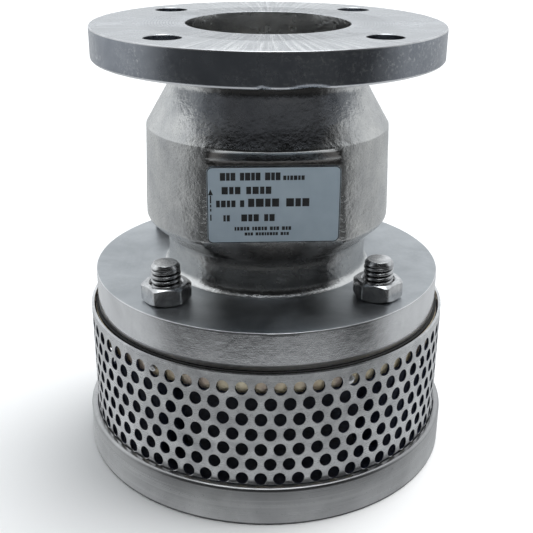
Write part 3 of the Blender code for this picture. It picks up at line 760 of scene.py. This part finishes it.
def paint_casting(piece, over_low, under_top):
    """Gives the faces their finish.

    0 is cast skin, 1 the outlet's face, 2 its rim, 3 the lower flange's top, 4 its rim, and 5 the edges, in a
    paler finish that is partly wear and partly a painted highlight."""
    mesh = piece.data
    count = len(mesh.polygons)
    centres = np.empty(count * 3)
    mesh.polygons.foreach_get("center", centres)
    centres = centres.reshape(-1, 3)
    radius = np.hypot(centres[:, 0], centres[:, 1])
    z = centres[:, 2]
    finish = np.zeros(count, np.int32)
    finish[(z > BODY_HIGH.z - 0.4 * MM)] = 1
    finish[(z <= BODY_HIGH.z - 0.4 * MM) & (z > under_top - MM) & (radius > 60 * MM)] = 2
    finish[(z > over_low - 0.3 * MM) & (z < over_low + 2 * MM) & (radius > 60 * MM)] = 3
    finish[(z <= over_low - 0.3 * MM) & (radius > 50.2 * MM)] = 4
    edge = (np.abs(z - over_low + 0.25 * MM) < 0.25 * MM) & (radius > BODY_HIGH.x - 0.45 * MM)
    edge |= (np.abs(z - BODY_HIGH.z + 0.35 * MM) < 0.35 * MM) & (radius > TOP_FLANGE_R - 0.7 * MM)
    edge |= (z > under_top) & (z < under_top + MM) & (radius > TOP_FLANGE_R - 1.2 * MM)
    edge |= (z < BODY_LOW.z + 3 * MM) & (radius > BODY_HIGH.x - 1.2 * MM)
    finish[edge] = EDGE_FINISH
    mesh.polygons.foreach_set("material_index", finish)
    mesh.update()


# ---------------------------------------------------------------- nameplate


def label_loop(inset, steps):
    """The nameplate's outline, set in from its edge, as (x, z) points."""
    corner = 3 * MM
    radius = corner - inset
    middle = (LABEL_LOW.z + LABEL_HIGH.z) / 2
    points = []
    for quarter, (side, rise) in enumerate(((1, 1), (-1, 1), (-1, -1), (1, -1))):
        for step in range(steps + 1):
            angle = math.radians(90 * quarter + 90 * step / steps)
            x = side * (LABEL_HIGH.x - corner) + radius * math.cos(angle)
            z = middle + rise * (LABEL_HIGH.z - middle - corner) + radius * math.sin(angle)
            points.append((x, z))
    return points


def nameplate(foil, ink):
    """The foil plate, with a softened front edge, and its print."""
    thick = LABEL_HIGH.y - LABEL_LOW.y
    edge = 0.12 * MM
    rings = []
    for inset, depth in ((0, 0), (0, thick - edge), (edge, thick)):
        rings.append([(x, LABEL_HIGH.y - depth, z) for x, z in label_loop(inset, 8)])
    mesh = mesh_from_rows("nameplate_foil", np.array(rings), closed=False, caps=True)
    place(add_object("nameplate_foil", mesh, [foil], 25), "valve", "label_foil", "nameplate")
    place(nameplate_print(ink), "valve", "label_foil")


def painted_edge_shadow(bm, front):
    """A thin dark line just inside the plate's edge, a painted shadow of that edge."""
    insets = (0.1 * MM, 0.55 * MM)
    loops = [[bm.verts.new((x, front, z)) for x, z in label_loop(inset, 6)] for inset in insets]
    for index, vert in enumerate(loops[0]):
        after = (index + 1) % len(loops[0])
        bm.faces.new((vert, loops[0][after], loops[1][after], loops[1][index]))


def nameplate_print(ink):
    """Generic print: rows of blocks in place of words, and a flow arrow that points up."""
    bm = bmesh.new()
    front = LABEL_LOW.y - 0.02 * MM
    left = LABEL_LOW.x

    def bar(x0, x1, z0, z1):
        verts = [bm.verts.new((x, front, z)) for x, z in ((x0, z0), (x1, z0), (x1, z1), (x0, z1))]
        bm.faces.new(verts)

    def words(start, height, level, lengths, stroke, gap):
        """Words as rows of upright strokes, a block gap apart."""
        x = left + start
        for letters in lengths:
            for letter in range(letters):
                wide = stroke * (0.75 + 0.5 * ((letter * 7 + letters * 3) % 5) / 4)
                bar(x, x + wide, LABEL_HIGH.z - level - height, LABEL_HIGH.z - level)
                x += wide + gap
            x += stroke * 0.9

    for start, height, level, lengths, stroke, gap in (
        (6.8, 4.1, 3.1, [3, 4, 3], 2.15, 0.4),
        (38.8, 2.4, 4.8, [6], 1.45, 0.4),
        (7.6, 3.9, 10.5, [3, 4], 2.5, 0.7),
        (4.7, 3.6, 17.7, [4, 1], 1.9, 0.6),
        (21.0, 4.4, 16.9, [4, 3], 3.2, 0.75),
        (8.3, 3.4, 25.6, [2], 1.4, 0.5),
        (17.5, 3.8, 25.3, [3, 2], 2.4, 0.6),
        (14.0, 2.0, 32.1, [5, 5, 3, 3], 1.25, 0.35),
        (19.2, 1.7, 35.2, [3, 8, 3], 1.15, 0.3),
    ):
        words(start * MM, height * MM, level * MM, lengths, stroke * MM, gap * MM)
    # Painted shadow line just inside the plate's edge.
    painted_edge_shadow(bm, front)
    middle = left + 1.9 * MM
    for low, high in ((28.5, 25.2), (23.5, 22.0), (21.3, 19.8), (19.1, 15.0)):
        bar(middle - 0.35 * MM, middle + 0.35 * MM, LABEL_HIGH.z - low * MM, LABEL_HIGH.z - high * MM)
    tip = LABEL_HIGH.z - 11.6 * MM
    points = ((middle - 1.3 * MM, tip - 3.2 * MM), (middle + 1.3 * MM, tip - 3.2 * MM), (middle, tip))
    bm.faces.new([bm.verts.new((x, front, z)) for x, z in points])
    grown = bmesh.ops.extrude_face_region(bm, geom=bm.faces[:])["geom"]
    moved = [item for item in grown if isinstance(item, bmesh.types.BMVert)]
    bmesh.ops.translate(bm, verts=moved, vec=(0, 0.03 * MM, 0))
    bmesh.ops.recalc_face_normals(bm, faces=bm.faces)
    mesh = bpy.data.meshes.new("nameplate_print")
    bm.to_mesh(mesh)
    bm.free()
    return add_object("nameplate_print", mesh, [ink])


# ---------------------------------------------------------------- fasteners


def hex_radius(angles, across_flats, corner):
    """The hexagon's reach at each angle, with its corners rounded off."""
    folded = np.mod(angles, math.tau / 6) - math.tau / 12
    reach = across_flats / 2 / np.cos(folded)
    return soft_min(reach, np.full_like(reach, across_flats / math.sqrt(3) - corner), 2 * corner)


def hex_rings(across_flats, low, high, columns, low_chamfer, turn=0.0):
    """Rings up the outside of a hexagon whose ends are turned to a cone, so its corners dip in curves."""
    angles = ring_angles(columns)
    reach = hex_radius(angles - turn, across_flats, 0.35 * MM)
    face_r = across_flats / 2 * 0.95
    slope = math.tan(math.radians(35))
    drop = np.maximum(reach - face_r, 0) * slope

    def ring(radius, height):
        height = np.broadcast_to(height, radius.shape)
        return np.stack((radius * np.cos(angles), radius * np.sin(angles), height), -1)

    low_drop = drop if low_chamfer else np.full_like(drop, 0.15 * MM)
    low_face = face_r if low_chamfer else reach - 0.15 * MM
    return [
        ring(np.broadcast_to(low_face, reach.shape), low),
        ring(reach, low + low_drop),
        ring(reach, high - drop),
        ring(reach - 0.15 * MM, high - drop + 0.12 * MM),
        ring(np.full_like(reach, face_r), high),
    ]


def nut(name, across_flats, bore_r, low, high, turn, centre, material):
    columns = 3 * SMALL_COLUMNS
    rings = hex_rings(across_flats, low, high, columns, True, turn)
    flare = 0.9 * MM
    profile = [(bore_r + flare, high), (bore_r, high - flare), (bore_r, low + flare), (bore_r + flare, low)]
    bore = turned_rows(profile, columns)
    rows = np.array(rings + list(bore))
    rows[..., 0] += centre[0]
    rows[..., 1] += centre[1]
    return add_object(name, mesh_from_rows(name, rows), [material], 28)


def bolt(name, low, high, centre, turn, material, inside):
    """A hex-head bolt, head down: the head, a plain shank, and a rolled thread up to a chamfered end."""
    columns = SMALL_COLUMNS
    angles = ring_angles(columns)
    head_top = low + 10 * MM
    rows = hex_rings(ACROSS_FLATS, low, head_top, columns, True, turn)
    painted_thread_shade = []
    rows.insert(0, turned_rows([(2 * MM, low)], columns)[0])
    rows[-2:] = [rows[-2]]
    root = 0.6 * MM
    shank = [(ACROSS_FLATS / 2 * 0.95, head_top), (BOLT_R + root, head_top), (BOLT_R, head_top + root)]
    rows += list(turned_rows(shank, columns))
    thread_low = high - 38 * MM
    thread_high = high - 2.6 * MM
    rows += list(turned_rows([(BOLT_R, thread_low - 0.5 * MM)], columns))
    steps = int((thread_high - thread_low) / (THREAD_PITCH / 18))
    for step in range(steps + 1):
        z = thread_low + (thread_high - thread_low) * step / steps
        turns = (z / THREAD_PITCH - angles / math.tau) % 1.0
        crest = np.clip(1.25 - 2.9 * np.abs(turns - 0.5), 0, 1)
        crest = np.sin(crest * math.pi / 2)
        taper_in = min(1.0, (z - thread_low) / (3 * MM))
        radius = BOLT_R - THREAD_DEPTH * (1 - crest) * taper_in
        radius = np.minimum(radius, BOLT_R - 0.25 * MM * min(1.0, max(0.0, 1 - (thread_high - z) / (2 * MM))))
        # Painted shade, darkest in the thread roots.
        painted_thread_shade.append((len(rows), (1 - crest) * taper_in))
        rows.append(np.stack((radius * np.cos(angles), radius * np.sin(angles), np.full(columns, z)), -1))
    end = [
        (BOLT_R - 0.25 * MM, thread_high + 0.1 * MM),
        (BOLT_R - 0.25 * MM, high - 1.85 * MM),
        (BOLT_R - 0.28 * MM, high - 1.75 * MM),
        (BOLT_R - 0.4 * MM, high - 1.6 * MM),
        (BOLT_R - 1.4 * MM, high - 0.25 * MM),
        (BOLT_R - 1.55 * MM, high - 0.08 * MM),
        (BOLT_R - 1.75 * MM, high),
        (BOLT_R - 1.95 * MM, high),
        (2.5 * MM, high),
        (MM, high),
    ]
    rows += list(turned_rows(end, columns))
    dark = np.zeros((len(rows), columns))
    for index, values in painted_thread_shade:
        dark[index] = values
    rows = np.array(rows)
    rows[..., 0] += centre[0]
    rows[..., 1] += centre[1]
    mesh = mesh_from_rows(name, rows, closed=False, caps=True)
    mesh.attributes.new("dark", "FLOAT", "POINT").data.foreach_set("value", dark.ravel())
    piece = add_object(name, mesh, [material, inside], 40)
    for face in mesh.polygons:
        # Painted shade: the part of the bolt inside the strainer takes the near-black inside finish.
        face.material_index = int(BASE_FLOOR < face.center.z < 78 * MM)
    return piece


def clamp_fasteners(material, inside):
    for index, (angle, turn) in enumerate(zip(BOLT_ANGLES, NUT_TURNS), start=1):
        centre = (BOLT_CIRCLE_R * math.cos(angle), BOLT_CIRCLE_R * math.sin(angle))
        low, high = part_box(f"clamp_nut_{index}")
        bore_r = BOLT_R + 0.3 * MM
        piece = nut(f"hex_nut_{index}", ACROSS_FLATS, bore_r, low.z, high.z, turn, centre, material)
        place(piece, "valve", "fastener_steel", f"clamp_nut_{index}")
        low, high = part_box(f"clamp_bolt_{index}")
        piece = bolt(f"hex_bolt_{index}", low.z, high.z - 0.05 * MM, centre, turn, material, inside)
        place(piece, "valve", "fastener_steel", f"clamp_bolt_{index}")


# ---------------------------------------------------------------- strainer


def screen(outside, inside):
    """The perforated sheet: every round hole with a softened edge and its wall."""
    pitch = math.tau / HOLES_PER_ROW
    across = pitch * SCREEN_R / 2
    flank = (ROW_SPACING**2 - across**2) / (2 * ROW_SPACING)
    peak = ROW_SPACING - flank
    points = []
    faces = []
    known = {}

    def point(radius, angle, z):
        key = (round(radius / MM, 3), round(angle * 1e5) % round(math.tau * 1e5), round(z / MM, 2))
        if key not in known:
            known[key] = len(points)
            points.append((radius * math.cos(angle), radius * math.sin(angle), z))
        return known[key]

    bottom = SCREEN_LOW.z
    top = SCREEN_HIGH.z
    for row in range(ROWS):
        z = TOP_ROW_Z - row * ROW_SPACING
        for hole in range(HOLES_PER_ROW):
            angle = TOP_ROW_PHASE + (hole + row % 2 / 2) * pitch
            cell = [(0.5, flank), (0, peak), (-0.5, flank), (-0.5, -flank), (0, -peak), (0.5, -flank)]
            circles = []
            for radius, hole_r in (
                (SCREEN_R, HOLE_R + 0.6 * MM),
                (SCREEN_R, HOLE_R + 0.16 * MM),
                (SCREEN_R - 0.16 * MM, HOLE_R),
                (SCREEN_R - SCREEN_THICK, HOLE_R),
            ):
                circle = []
                for side in range(HOLE_SIDES):
                    turn = math.tau * (side + 0.5) / HOLE_SIDES
                    along = hole_r * math.cos(turn) / SCREEN_R
                    circle.append(point(radius, angle + along, z + HOLE_RISE * hole_r * math.sin(turn)))
                circles.append(circle)
            for first, second in zip(circles, circles[1:]):
                for side in range(HOLE_SIDES):
                    after = (side + 1) % HOLE_SIDES
                    faces.append((first[side], first[after], second[after], second[side]))
            for radius, circle in ((SCREEN_R, circles[0]), (SCREEN_R - SCREEN_THICK, circles[3])):
                corners = [point(radius, angle + turn * pitch, z + rise) for turn, rise in cell]
                turns = [math.atan2(rise, turn * pitch * SCREEN_R) % math.tau for turn, rise in cell]
                starts = [int(turn / math.tau * HOLE_SIDES - 0.5) + 1 for turn in turns]
                for side in range(6):
                    begin = starts[side]
                    end = starts[(side + 1) % 6]
                    if end < begin:
                        end += HOLE_SIDES
                    arc = [circle[step % HOLE_SIDES] for step in range(begin - 1, end)]
                    faces.append((corners[side], corners[(side + 1) % 6], *reversed(arc)))
                if row == 0:
                    edge = [point(radius, angle + turn * pitch, top) for turn in (0.5, 0, -0.5)]
                    faces.append((corners[0], edge[0], edge[1], corners[1]))
                    faces.append((corners[1], edge[1], edge[2], corners[2]))
                if row == ROWS - 1:
                    edge = [point(radius, angle + turn * pitch, bottom) for turn in (-0.5, 0, 0.5)]
                    faces.append((corners[3], edge[0], edge[1], corners[4]))
                    faces.append((corners[4], edge[1], edge[2], corners[5]))
            if row in (0, ROWS - 1):
                level = top if row == 0 else bottom
                for turn in (-0.5, 0):
                    inner_r = SCREEN_R - SCREEN_THICK
                    rim = [(SCREEN_R, turn), (SCREEN_R, turn + 0.5), (inner_r, turn + 0.5), (inner_r, turn)]
                    faces.append([point(radius, angle + part * pitch, level) for radius, part in rim])
    mesh = bpy.data.meshes.new("perforated_screen")
    mesh.from_pydata(points, [], faces)
    fix_normals(mesh)
    piece = add_object("perforated_screen", mesh, [outside, inside], 30)
    # Painted shade: the inner face and hole walls take the near-black inside finish.
    for face in mesh.polygons:
        deepest = min(math.hypot(*points[vertex][:2]) for vertex in face.vertices)
        below_rim = face.center.z < TOP_ROW_Z + 5 * MM
        face.material_index = int(deepest < SCREEN_R - 0.2 * MM and below_rim)
    return piece


def plug_welds(material):
    """Weld beads in six holes of the top row, each leaving a crescent of its hole open."""
    pitch = math.tau / HOLES_PER_ROW
    bm = bmesh.new()
    for hole in range(FIRST_WELDED_HOLE, HOLES_PER_ROW, WELDED_EVERY):
        angle = TOP_ROW_PHASE + hole * pitch
        grown = bmesh.ops.create_icosphere(bm, subdivisions=4, radius=1.0)["verts"]
        lean = math.sin(hole * 0.9)
        for vert in grown:
            bulge = 1 + 0.16 * noise.noise(vert.co * 1.7 + Vector((hole, 0, 0)))
            across = vert.co.y * 2.5 * MM * bulge - 2.1 * MM
            up = vert.co.z * 2.5 * MM * bulge + 0.8 * MM * lean + 0.7 * MM
            out = vert.co.x * 0.7 * MM * bulge
            turn = angle + across / SCREEN_R
            radius = SCREEN_R - 0.72 * MM + out
            vert.co = (radius * math.cos(turn), radius * math.sin(turn), TOP_ROW_Z + up)
    mesh = bpy.data.meshes.new("plug_welds")
    bm.to_mesh(mesh)
    bm.free()
    fix_normals(mesh)
    return add_object("plug_welds", mesh, [material], 60)


def base(material, inside):
    """The base: a plate with a raised rim around the screen, and a recess under it for the bolt heads."""
    outer = BASE_HIGH.x - 0.3 * MM
    top = BASE_HIGH.z - 2.6 * MM
    corners = [
        (outer, 0, 0.9 * MM),
        (outer, top, 1.8 * MM),
        (SCREEN_R + 0.5 * MM, top, 0.4 * MM),
        (SCREEN_R + 0.5 * MM, BASE_FLOOR, 0.3 * MM),
        (3 * MM, BASE_FLOOR, 0),
        (3 * MM, BASE_RECESS, 0),
        (RECESS_R, BASE_RECESS, 2.5 * MM),
        (RECESS_R, 0, 0.8 * MM),
    ]
    outline = rounded(corners)
    plug = [index for index, point in enumerate(outline) if point[0] < 4 * MM]
    start = plug[1]
    outline = outline[start:] + outline[:start]
    rows = turned_rows(refined(outline, 12 * MM, closed=False), COLUMNS)
    mesh = mesh_from_rows("strainer_base_ring", rows, closed=False, caps=True)
    piece = add_object("strainer_base_ring", mesh, [material, inside])
    drill(piece, BOLT_CIRCLE_R, BOLT_HOLE_R, BASE_RECESS, BASE_FLOOR, 0.3 * MM)
    # Painted shade: the floor inside the screen takes the near-black inside finish.
    for face in piece.data.polygons:
        within = math.hypot(*face.center[:2]) < SCREEN_R + 0.6 * MM
        face.material_index = int(face.center.z > 18 * MM and within)
    return piece


# ---------------------------------------------------------------- inner parts


def flat_ring(name, inner, box, fillets, material, steps=5):
    """A flat ring as large as a CAD node's box, with its own bore."""
    low, high = box
    corners = zip((inner, high.x, high.x, inner), (low.z, low.z, high.z, high.z), fillets)
    return lathe(name, list(corners), material, RING_COLUMNS, steps)


def inner_parts(steel, bronze, rubber, fibre, wire, fastener):
    seat = lathe(
        "seat_ring",
        [
            (SEAT_HIGH.x, PLATE_LIP, 0.5 * MM),
            (SEAT_HIGH.x, PLATE_TOP, 0.5 * MM),
            (49.4 * MM, PLATE_TOP, 0.5 * MM),
            (49.4 * MM, SEAT_HIGH.z - 1.4 * MM, 0.5 * MM),
            (44.8 * MM, SEAT_HIGH.z - 1.4 * MM, 0.3 * MM),
            (44.0 * MM, SEAT_HIGH.z, 0.3 * MM),
            (39.2 * MM, SEAT_HIGH.z, 0.3 * MM),
            (38.0 * MM, SEAT_HIGH.z - 1.2 * MM, 0.3 * MM),
            (38.0 * MM, 62.0 * MM, 0.8 * MM),
            (45.0 * MM, 62.0 * MM, MM),
            (48.0 * MM, 65.0 * MM, MM),
            (48.0 * MM, PLATE_LOW, 2 * MM),
            (SEAT_HIGH.x - 3 * MM, PLATE_LOW, MM),
            (SEAT_HIGH.x - 3 * MM, PLATE_LIP, 0.5 * MM),
        ],
        bronze,
        RING_COLUMNS,
    )
    boolean(seat, spider("lower_spider", [42 * MM] * 4, 64 * MM, 77 * MM, SEAT_LOW.z, 79.5 * MM), "UNION")
    drill(seat, BOLT_CIRCLE_R, BOLT_HOLE_R, PLATE_LOW, PLATE_TOP, 0.3 * MM)
    seat.data.materials.clear()
    seat.data.materials.append(bronze)
    place(seat, "valve", "bronze", "seat_plate")

    gasket = flat_ring("flange_gasket", 50.3 * MM, (GASKET_LOW, GASKET_HIGH), [0.2 * MM] * 4, fibre, 3)
    drill(gasket, BOLT_CIRCLE_R, BOLT_HOLE_R, GASKET_LOW.z, GASKET_HIGH.z, 0.0)
    place(gasket, "valve", "gasket_fibre", "body_gasket")

    low, high = UPPER_BUSH_LOW.z, UPPER_BUSH_HIGH.z
    shoulder = low + 1.5 * MM
    upper = lathe(
        "upper_bush",
        [
            (STEM_BORE_R, low, 0.4 * MM),
            (UPPER_BUSH_HIGH.x, low, 0.3 * MM),
            (UPPER_BUSH_HIGH.x, shoulder, 0.3 * MM),
            (BUSH_R, shoulder, 0.2 * MM),
            (BUSH_R, high, 0.4 * MM),
            (STEM_BORE_R, high, 0.4 * MM),
        ],
        bronze,
        SMALL_COLUMNS,
    )
    place(upper, "valve", "bronze", "upper_guide_bushing")
    low, high = LOWER_BUSH_LOW.z, LOWER_BUSH_HIGH.z
    shoulder = high - 1.2 * MM
    lower = lathe(
        "lower_bush",
        [
            (STEM_BORE_R, low, 0.4 * MM),
            (BUSH_R, low, 0.4 * MM),
            (BUSH_R, shoulder, 0.2 * MM),
            (LOWER_BUSH_HIGH.x, shoulder, 0.3 * MM),
            (LOWER_BUSH_HIGH.x, high, 0.3 * MM),
            (STEM_BORE_R, high, 0.3 * MM),
        ],
        bronze,
        SMALL_COLUMNS,
    )
    place(lower, "valve", "bronze", "lower_guide_bushing")
    place(poppet_spring(wire), "valve", "spring_steel", "poppet_spring")
    poppet_parts(steel, rubber, fastener)


def poppet_spring(material):
    """The return spring: a round wire with a closed turn at each end."""
    wire_r = 1.3 * MM
    turns = 7
    per_turn = 40
    sides = 14
    low = SPRING_LOW.z + wire_r
    high = SPRING_HIGH.z - wire_r
    pitch = (high - low - 4 * wire_r) / (turns - 2)
    rows = []
    for index in range(turns * per_turn + 1):
        turn = index / per_turn
        closing = 2 * wire_r * (min(turn, 1) + max(turn - turns + 1, 0))
        rising = pitch * min(max(turn - 1, 0), turns - 2)
        angle = math.tau * turn
        out = np.array((math.cos(angle), math.sin(angle), 0))
        centre = out * 12 * MM + np.array((0, 0, low + closing + rising))
        ring = [
            centre + wire_r * (math.cos(part) * out + math.sin(part) * np.array((0, 0, 1)))
            for part in ring_angles(sides)
        ]
        rows.append(ring)
    mesh = mesh_from_rows("return_spring", np.array(rows), closed=False, caps=True)
    piece = add_object("return_spring", mesh, [material], 50)
    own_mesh(piece)
    return piece


def poppet_parts(steel, rubber, fastener):
    disc_r = DISC_HIGH.x
    low, high = DISC_LOW.z, DISC_HIGH.z
    under = low + 4.3 * MM
    disc = lathe(
        "check_disc",
        [
            (STEM_BORE_R, low, 0.3 * MM),
            (29.7 * MM, low, 0.3 * MM),
            (29.7 * MM, under, 0.2 * MM),
            (disc_r, under, 0.8 * MM),
            (disc_r, under + 5 * MM, 2 * MM),
            (14.5 * MM, high - 2.2 * MM, 2 * MM),
            (13.0 * MM, high, 0.5 * MM),
            (STEM_BORE_R, high, 0.3 * MM),
        ],
        steel,
        256,
    )
    place(disc, "poppet", "turned_stainless", "poppet_disc")
    collar = 109.0 * MM
    outline = rounded(
        [
            (STEM_R, STEM_LOW.z, 0.8 * MM),
            (STEM_R, collar, 0.2 * MM),
            (STEM_HIGH.x, collar, 0.4 * MM),
            (STEM_HIGH.x, collar + 2.5 * MM, 0.4 * MM),
            (STEM_R, collar + 2.5 * MM, 0.6 * MM),
            (STEM_R, STEM_HIGH.z, 0.9 * MM),
            (MM, STEM_HIGH.z, 0),
            (MM, STEM_LOW.z, 0),
        ]
    )
    outline = [outline[-1]] + outline[:-1]
    rows = turned_rows(refined(outline, 10 * MM, closed=False), SMALL_COLUMNS)
    stem = add_object("guide_stem", mesh_from_rows("guide_stem", rows, closed=False, caps=True), [steel])
    place(stem, "poppet", "turned_stainless", "poppet_stem")
    fillets = (0.3 * MM, 0.8 * MM, 0.3 * MM, 0.3 * MM)
    seal = flat_ring("rubber_seal", 30 * MM, (SEAL_LOW, SEAL_HIGH), fillets, rubber)
    place(seal, "poppet", "black_rubber", "seat_seal")
    fillets = (0.3 * MM, MM, 0.3 * MM, 0.3 * MM)
    retainer = flat_ring("retainer_plate", STEM_BORE_R, (RETAINER_LOW, RETAINER_HIGH), fillets, steel)
    place(retainer, "poppet", "turned_stainless", "seal_retainer")
    low, high = STEM_NUT_LOW.z, STEM_NUT_HIGH.z
    stem_nut = nut("stem_nut", 19 * MM, STEM_BORE_R, low, high, 0, (0, 0), fastener)
    place(stem_nut, "poppet", "fastener_steel", "retainer_nut")


# ---------------------------------------------------------------- studio


def studio():
    """A white floor and backdrop under soft light."""
    mesh = bpy.data.meshes.new("floor")
    reach = 8.0
    corners = [(-reach, -reach, 0), (reach, -reach, 0), (reach, reach, 0), (-reach, reach, 0)]
    mesh.from_pydata(corners, [], [(0, 1, 2, 3)])
    paper = Shader("floor_paper", (0.9, 0.9, 0.9), 0.0, 0.9)
    paper.surface.inputs["Specular IOR Level"].default_value = 0.1
    mesh.materials.append(paper.material)
    floor = bpy.data.objects.new("floor", mesh)
    floor.visible_glossy = False
    bpy.context.scene.collection.objects.link(floor)
    backdrop(paper.material, reach)
    bpy.context.scene.world = room()
    sky = bpy.data.lights.new("soft_key", "SUN")
    sky.energy = 2.6
    sky.angle = math.radians(55)
    lamp = bpy.data.objects.new("soft_key", sky)
    lamp.rotation_euler = Vector((0.75, 0.35, 1.3)).to_track_quat("Z", "Y").to_euler()
    lamp.visible_glossy = False
    bpy.context.scene.collection.objects.link(lamp)


def backdrop(material, reach):
    """A wall all round the floor's edge, which only the camera sees."""
    mesh = bpy.data.meshes.new("backdrop")
    turns = [math.radians(turn) for turn in range(0, 360, 5)]
    points = [(reach * math.cos(turn), reach * math.sin(turn), z) for z in (0, 4.0) for turn in turns]
    count = len(turns)
    faces = [(i, (i + 1) % count, count + (i + 1) % count, count + i) for i in range(count)]
    mesh.from_pydata(points, [], faces)
    mesh.materials.append(material)
    wall = bpy.data.objects.new("backdrop", mesh)
    wall.visible_glossy = False
    wall.visible_diffuse = False
    wall.visible_shadow = False
    bpy.context.scene.collection.objects.link(wall)
    return wall


def room():
    """The light that the metal mirrors, by direction: pale at the sides and back, dark towards the front."""
    world = bpy.data.worlds.new("room")
    world.use_nodes = True
    tree = world.node_tree

    def maths(operation, *values):
        node = tree.nodes.new("ShaderNodeMath")
        node.operation = operation
        for index, value in enumerate(values):
            if isinstance(value, (int, float)):
                node.inputs[index].default_value = value
            else:
                tree.links.new(value, node.inputs[index])
        return node.outputs["Value"]

    def span(value, low, high, to_low, to_high):
        node = tree.nodes.new("ShaderNodeMapRange")
        node.interpolation_type = "SMOOTHSTEP"
        tree.links.new(value, node.inputs["Value"])
        for name, number in (("From Min", low), ("From Max", high), ("To Min", to_low), ("To Max", to_high)):
            if isinstance(number, (int, float)):
                node.inputs[name].default_value = number
            else:
                tree.links.new(number, node.inputs[name])
        return node.outputs["Result"]

    parts = tree.nodes.new("ShaderNodeSeparateXYZ")
    tree.links.new(tree.nodes.new("ShaderNodeTexCoord").outputs["Generated"], parts.inputs["Vector"])
    across, along, up = (parts.outputs[axis] for axis in "XYZ")
    level = maths("SQRT", maths("MULTIPLY_ADD", along, along, maths("MULTIPLY", across, across)))
    facing = maths("DIVIDE", along, maths("MAXIMUM", level, 0.001))
    walls = span(up, -0.3, 0.25, span(facing, 0.0, 1.0, 0.5, 0.64), 0.92)
    haze = span(up, -0.3, -0.2, 0.045, span(up, 0.0, 0.25, 0.09, 0.012))
    front = span(up, -0.54, -0.45, 0.58, haze)
    sides = span(facing, -0.5, 0.08, front, span(up, -0.54, -0.42, 0.66, walls))
    shaded = maths("MULTIPLY", sides, span(across, 0.2, 0.9, 1.0, span(up, -0.34, -0.2, 1.0, 0.84)))
    light = span(up, 0.91, 0.97, shaded, 3.0)
    shade = tree.nodes["Background"]
    shade.inputs["Color"].default_value = (0.94, 0.975, 1.0, 1)
    tree.links.new(light, shade.inputs["Strength"])
    return world


def camera():
    """A long lens from a little left of the front, looking down at the valve."""
    away = 493.46 * MM
    around = math.radians(3.46)
    data = bpy.data.cameras.new("camera")
    data.lens = 60.5
    data.sensor_width = 36
    view = bpy.data.objects.new("camera", data)
    view.location = (-away * math.sin(around), -away * math.cos(around), BODY_HIGH.z + 65.12 * MM)
    aim = Euler((math.radians(90 - 22.8), 0, -around))
    roll = Euler((0, 0, math.radians(0.395)))
    view.rotation_euler = (aim.to_matrix() @ roll.to_matrix()).to_euler()
    bpy.context.scene.collection.objects.link(view)
    bpy.context.scene.camera = view


# ---------------------------------------------------------------- the object

camera()
studio()
bpy.context.scene.view_settings.view_transform = "Standard"

steel = turned_steel("turned_stainless", (0.6, 0.6, 0.6), 0.3)
fastener = fastener_steel()
bronze = bronze_skin()
sheet = sheet_steel()
dull = painted_shade_steel()
finishes = [
    cast_skin(),
    faced_steel(),
    rim_steel("outlet_rim_stainless", (0.42, 0.44, 0.48), (0.3, 0.32, 0.36), 0.25, 0.7),
    rim_steel("flange_top_stainless", (0.58, 0.6, 0.62), (0.4, 0.42, 0.44), 0.4, 0.15),
    rim_steel("flange_rim_stainless", (0.92, 0.92, 0.93), (0.74, 0.74, 0.75), 0.17, 0.15),
    # The edges' paler finish is partly wear and partly a painted highlight line.
    rim_steel("bright_edge_stainless", (0.95, 0.95, 0.96), (0.6, 0.6, 0.62), 0.34, 0.2),
]
place(casting(finishes), "valve", "cast_stainless", "valve_body")
nameplate(label_foil(), soft_matte("label_ink", (0.01, 0.01, 0.012), 0.55, 300))
clamp_fasteners(fastener, dull)
place(screen(sheet, dull), "valve", "perforated_stainless", "strainer_screen")
place(plug_welds(sheet), "valve", "perforated_stainless")
place(base(base_steel(), dull), "valve", "machined_stainless", "strainer_base")
inner_parts(
    steel,
    bronze,
    soft_matte("black_rubber", (0.02, 0.02, 0.02), 0.6, 400),
    soft_matte("gasket_fibre", (0.015, 0.015, 0.015), 0.85, 500),
    turned_steel("spring_wire", (0.5, 0.5, 0.52), 0.26),
    fastener,
)
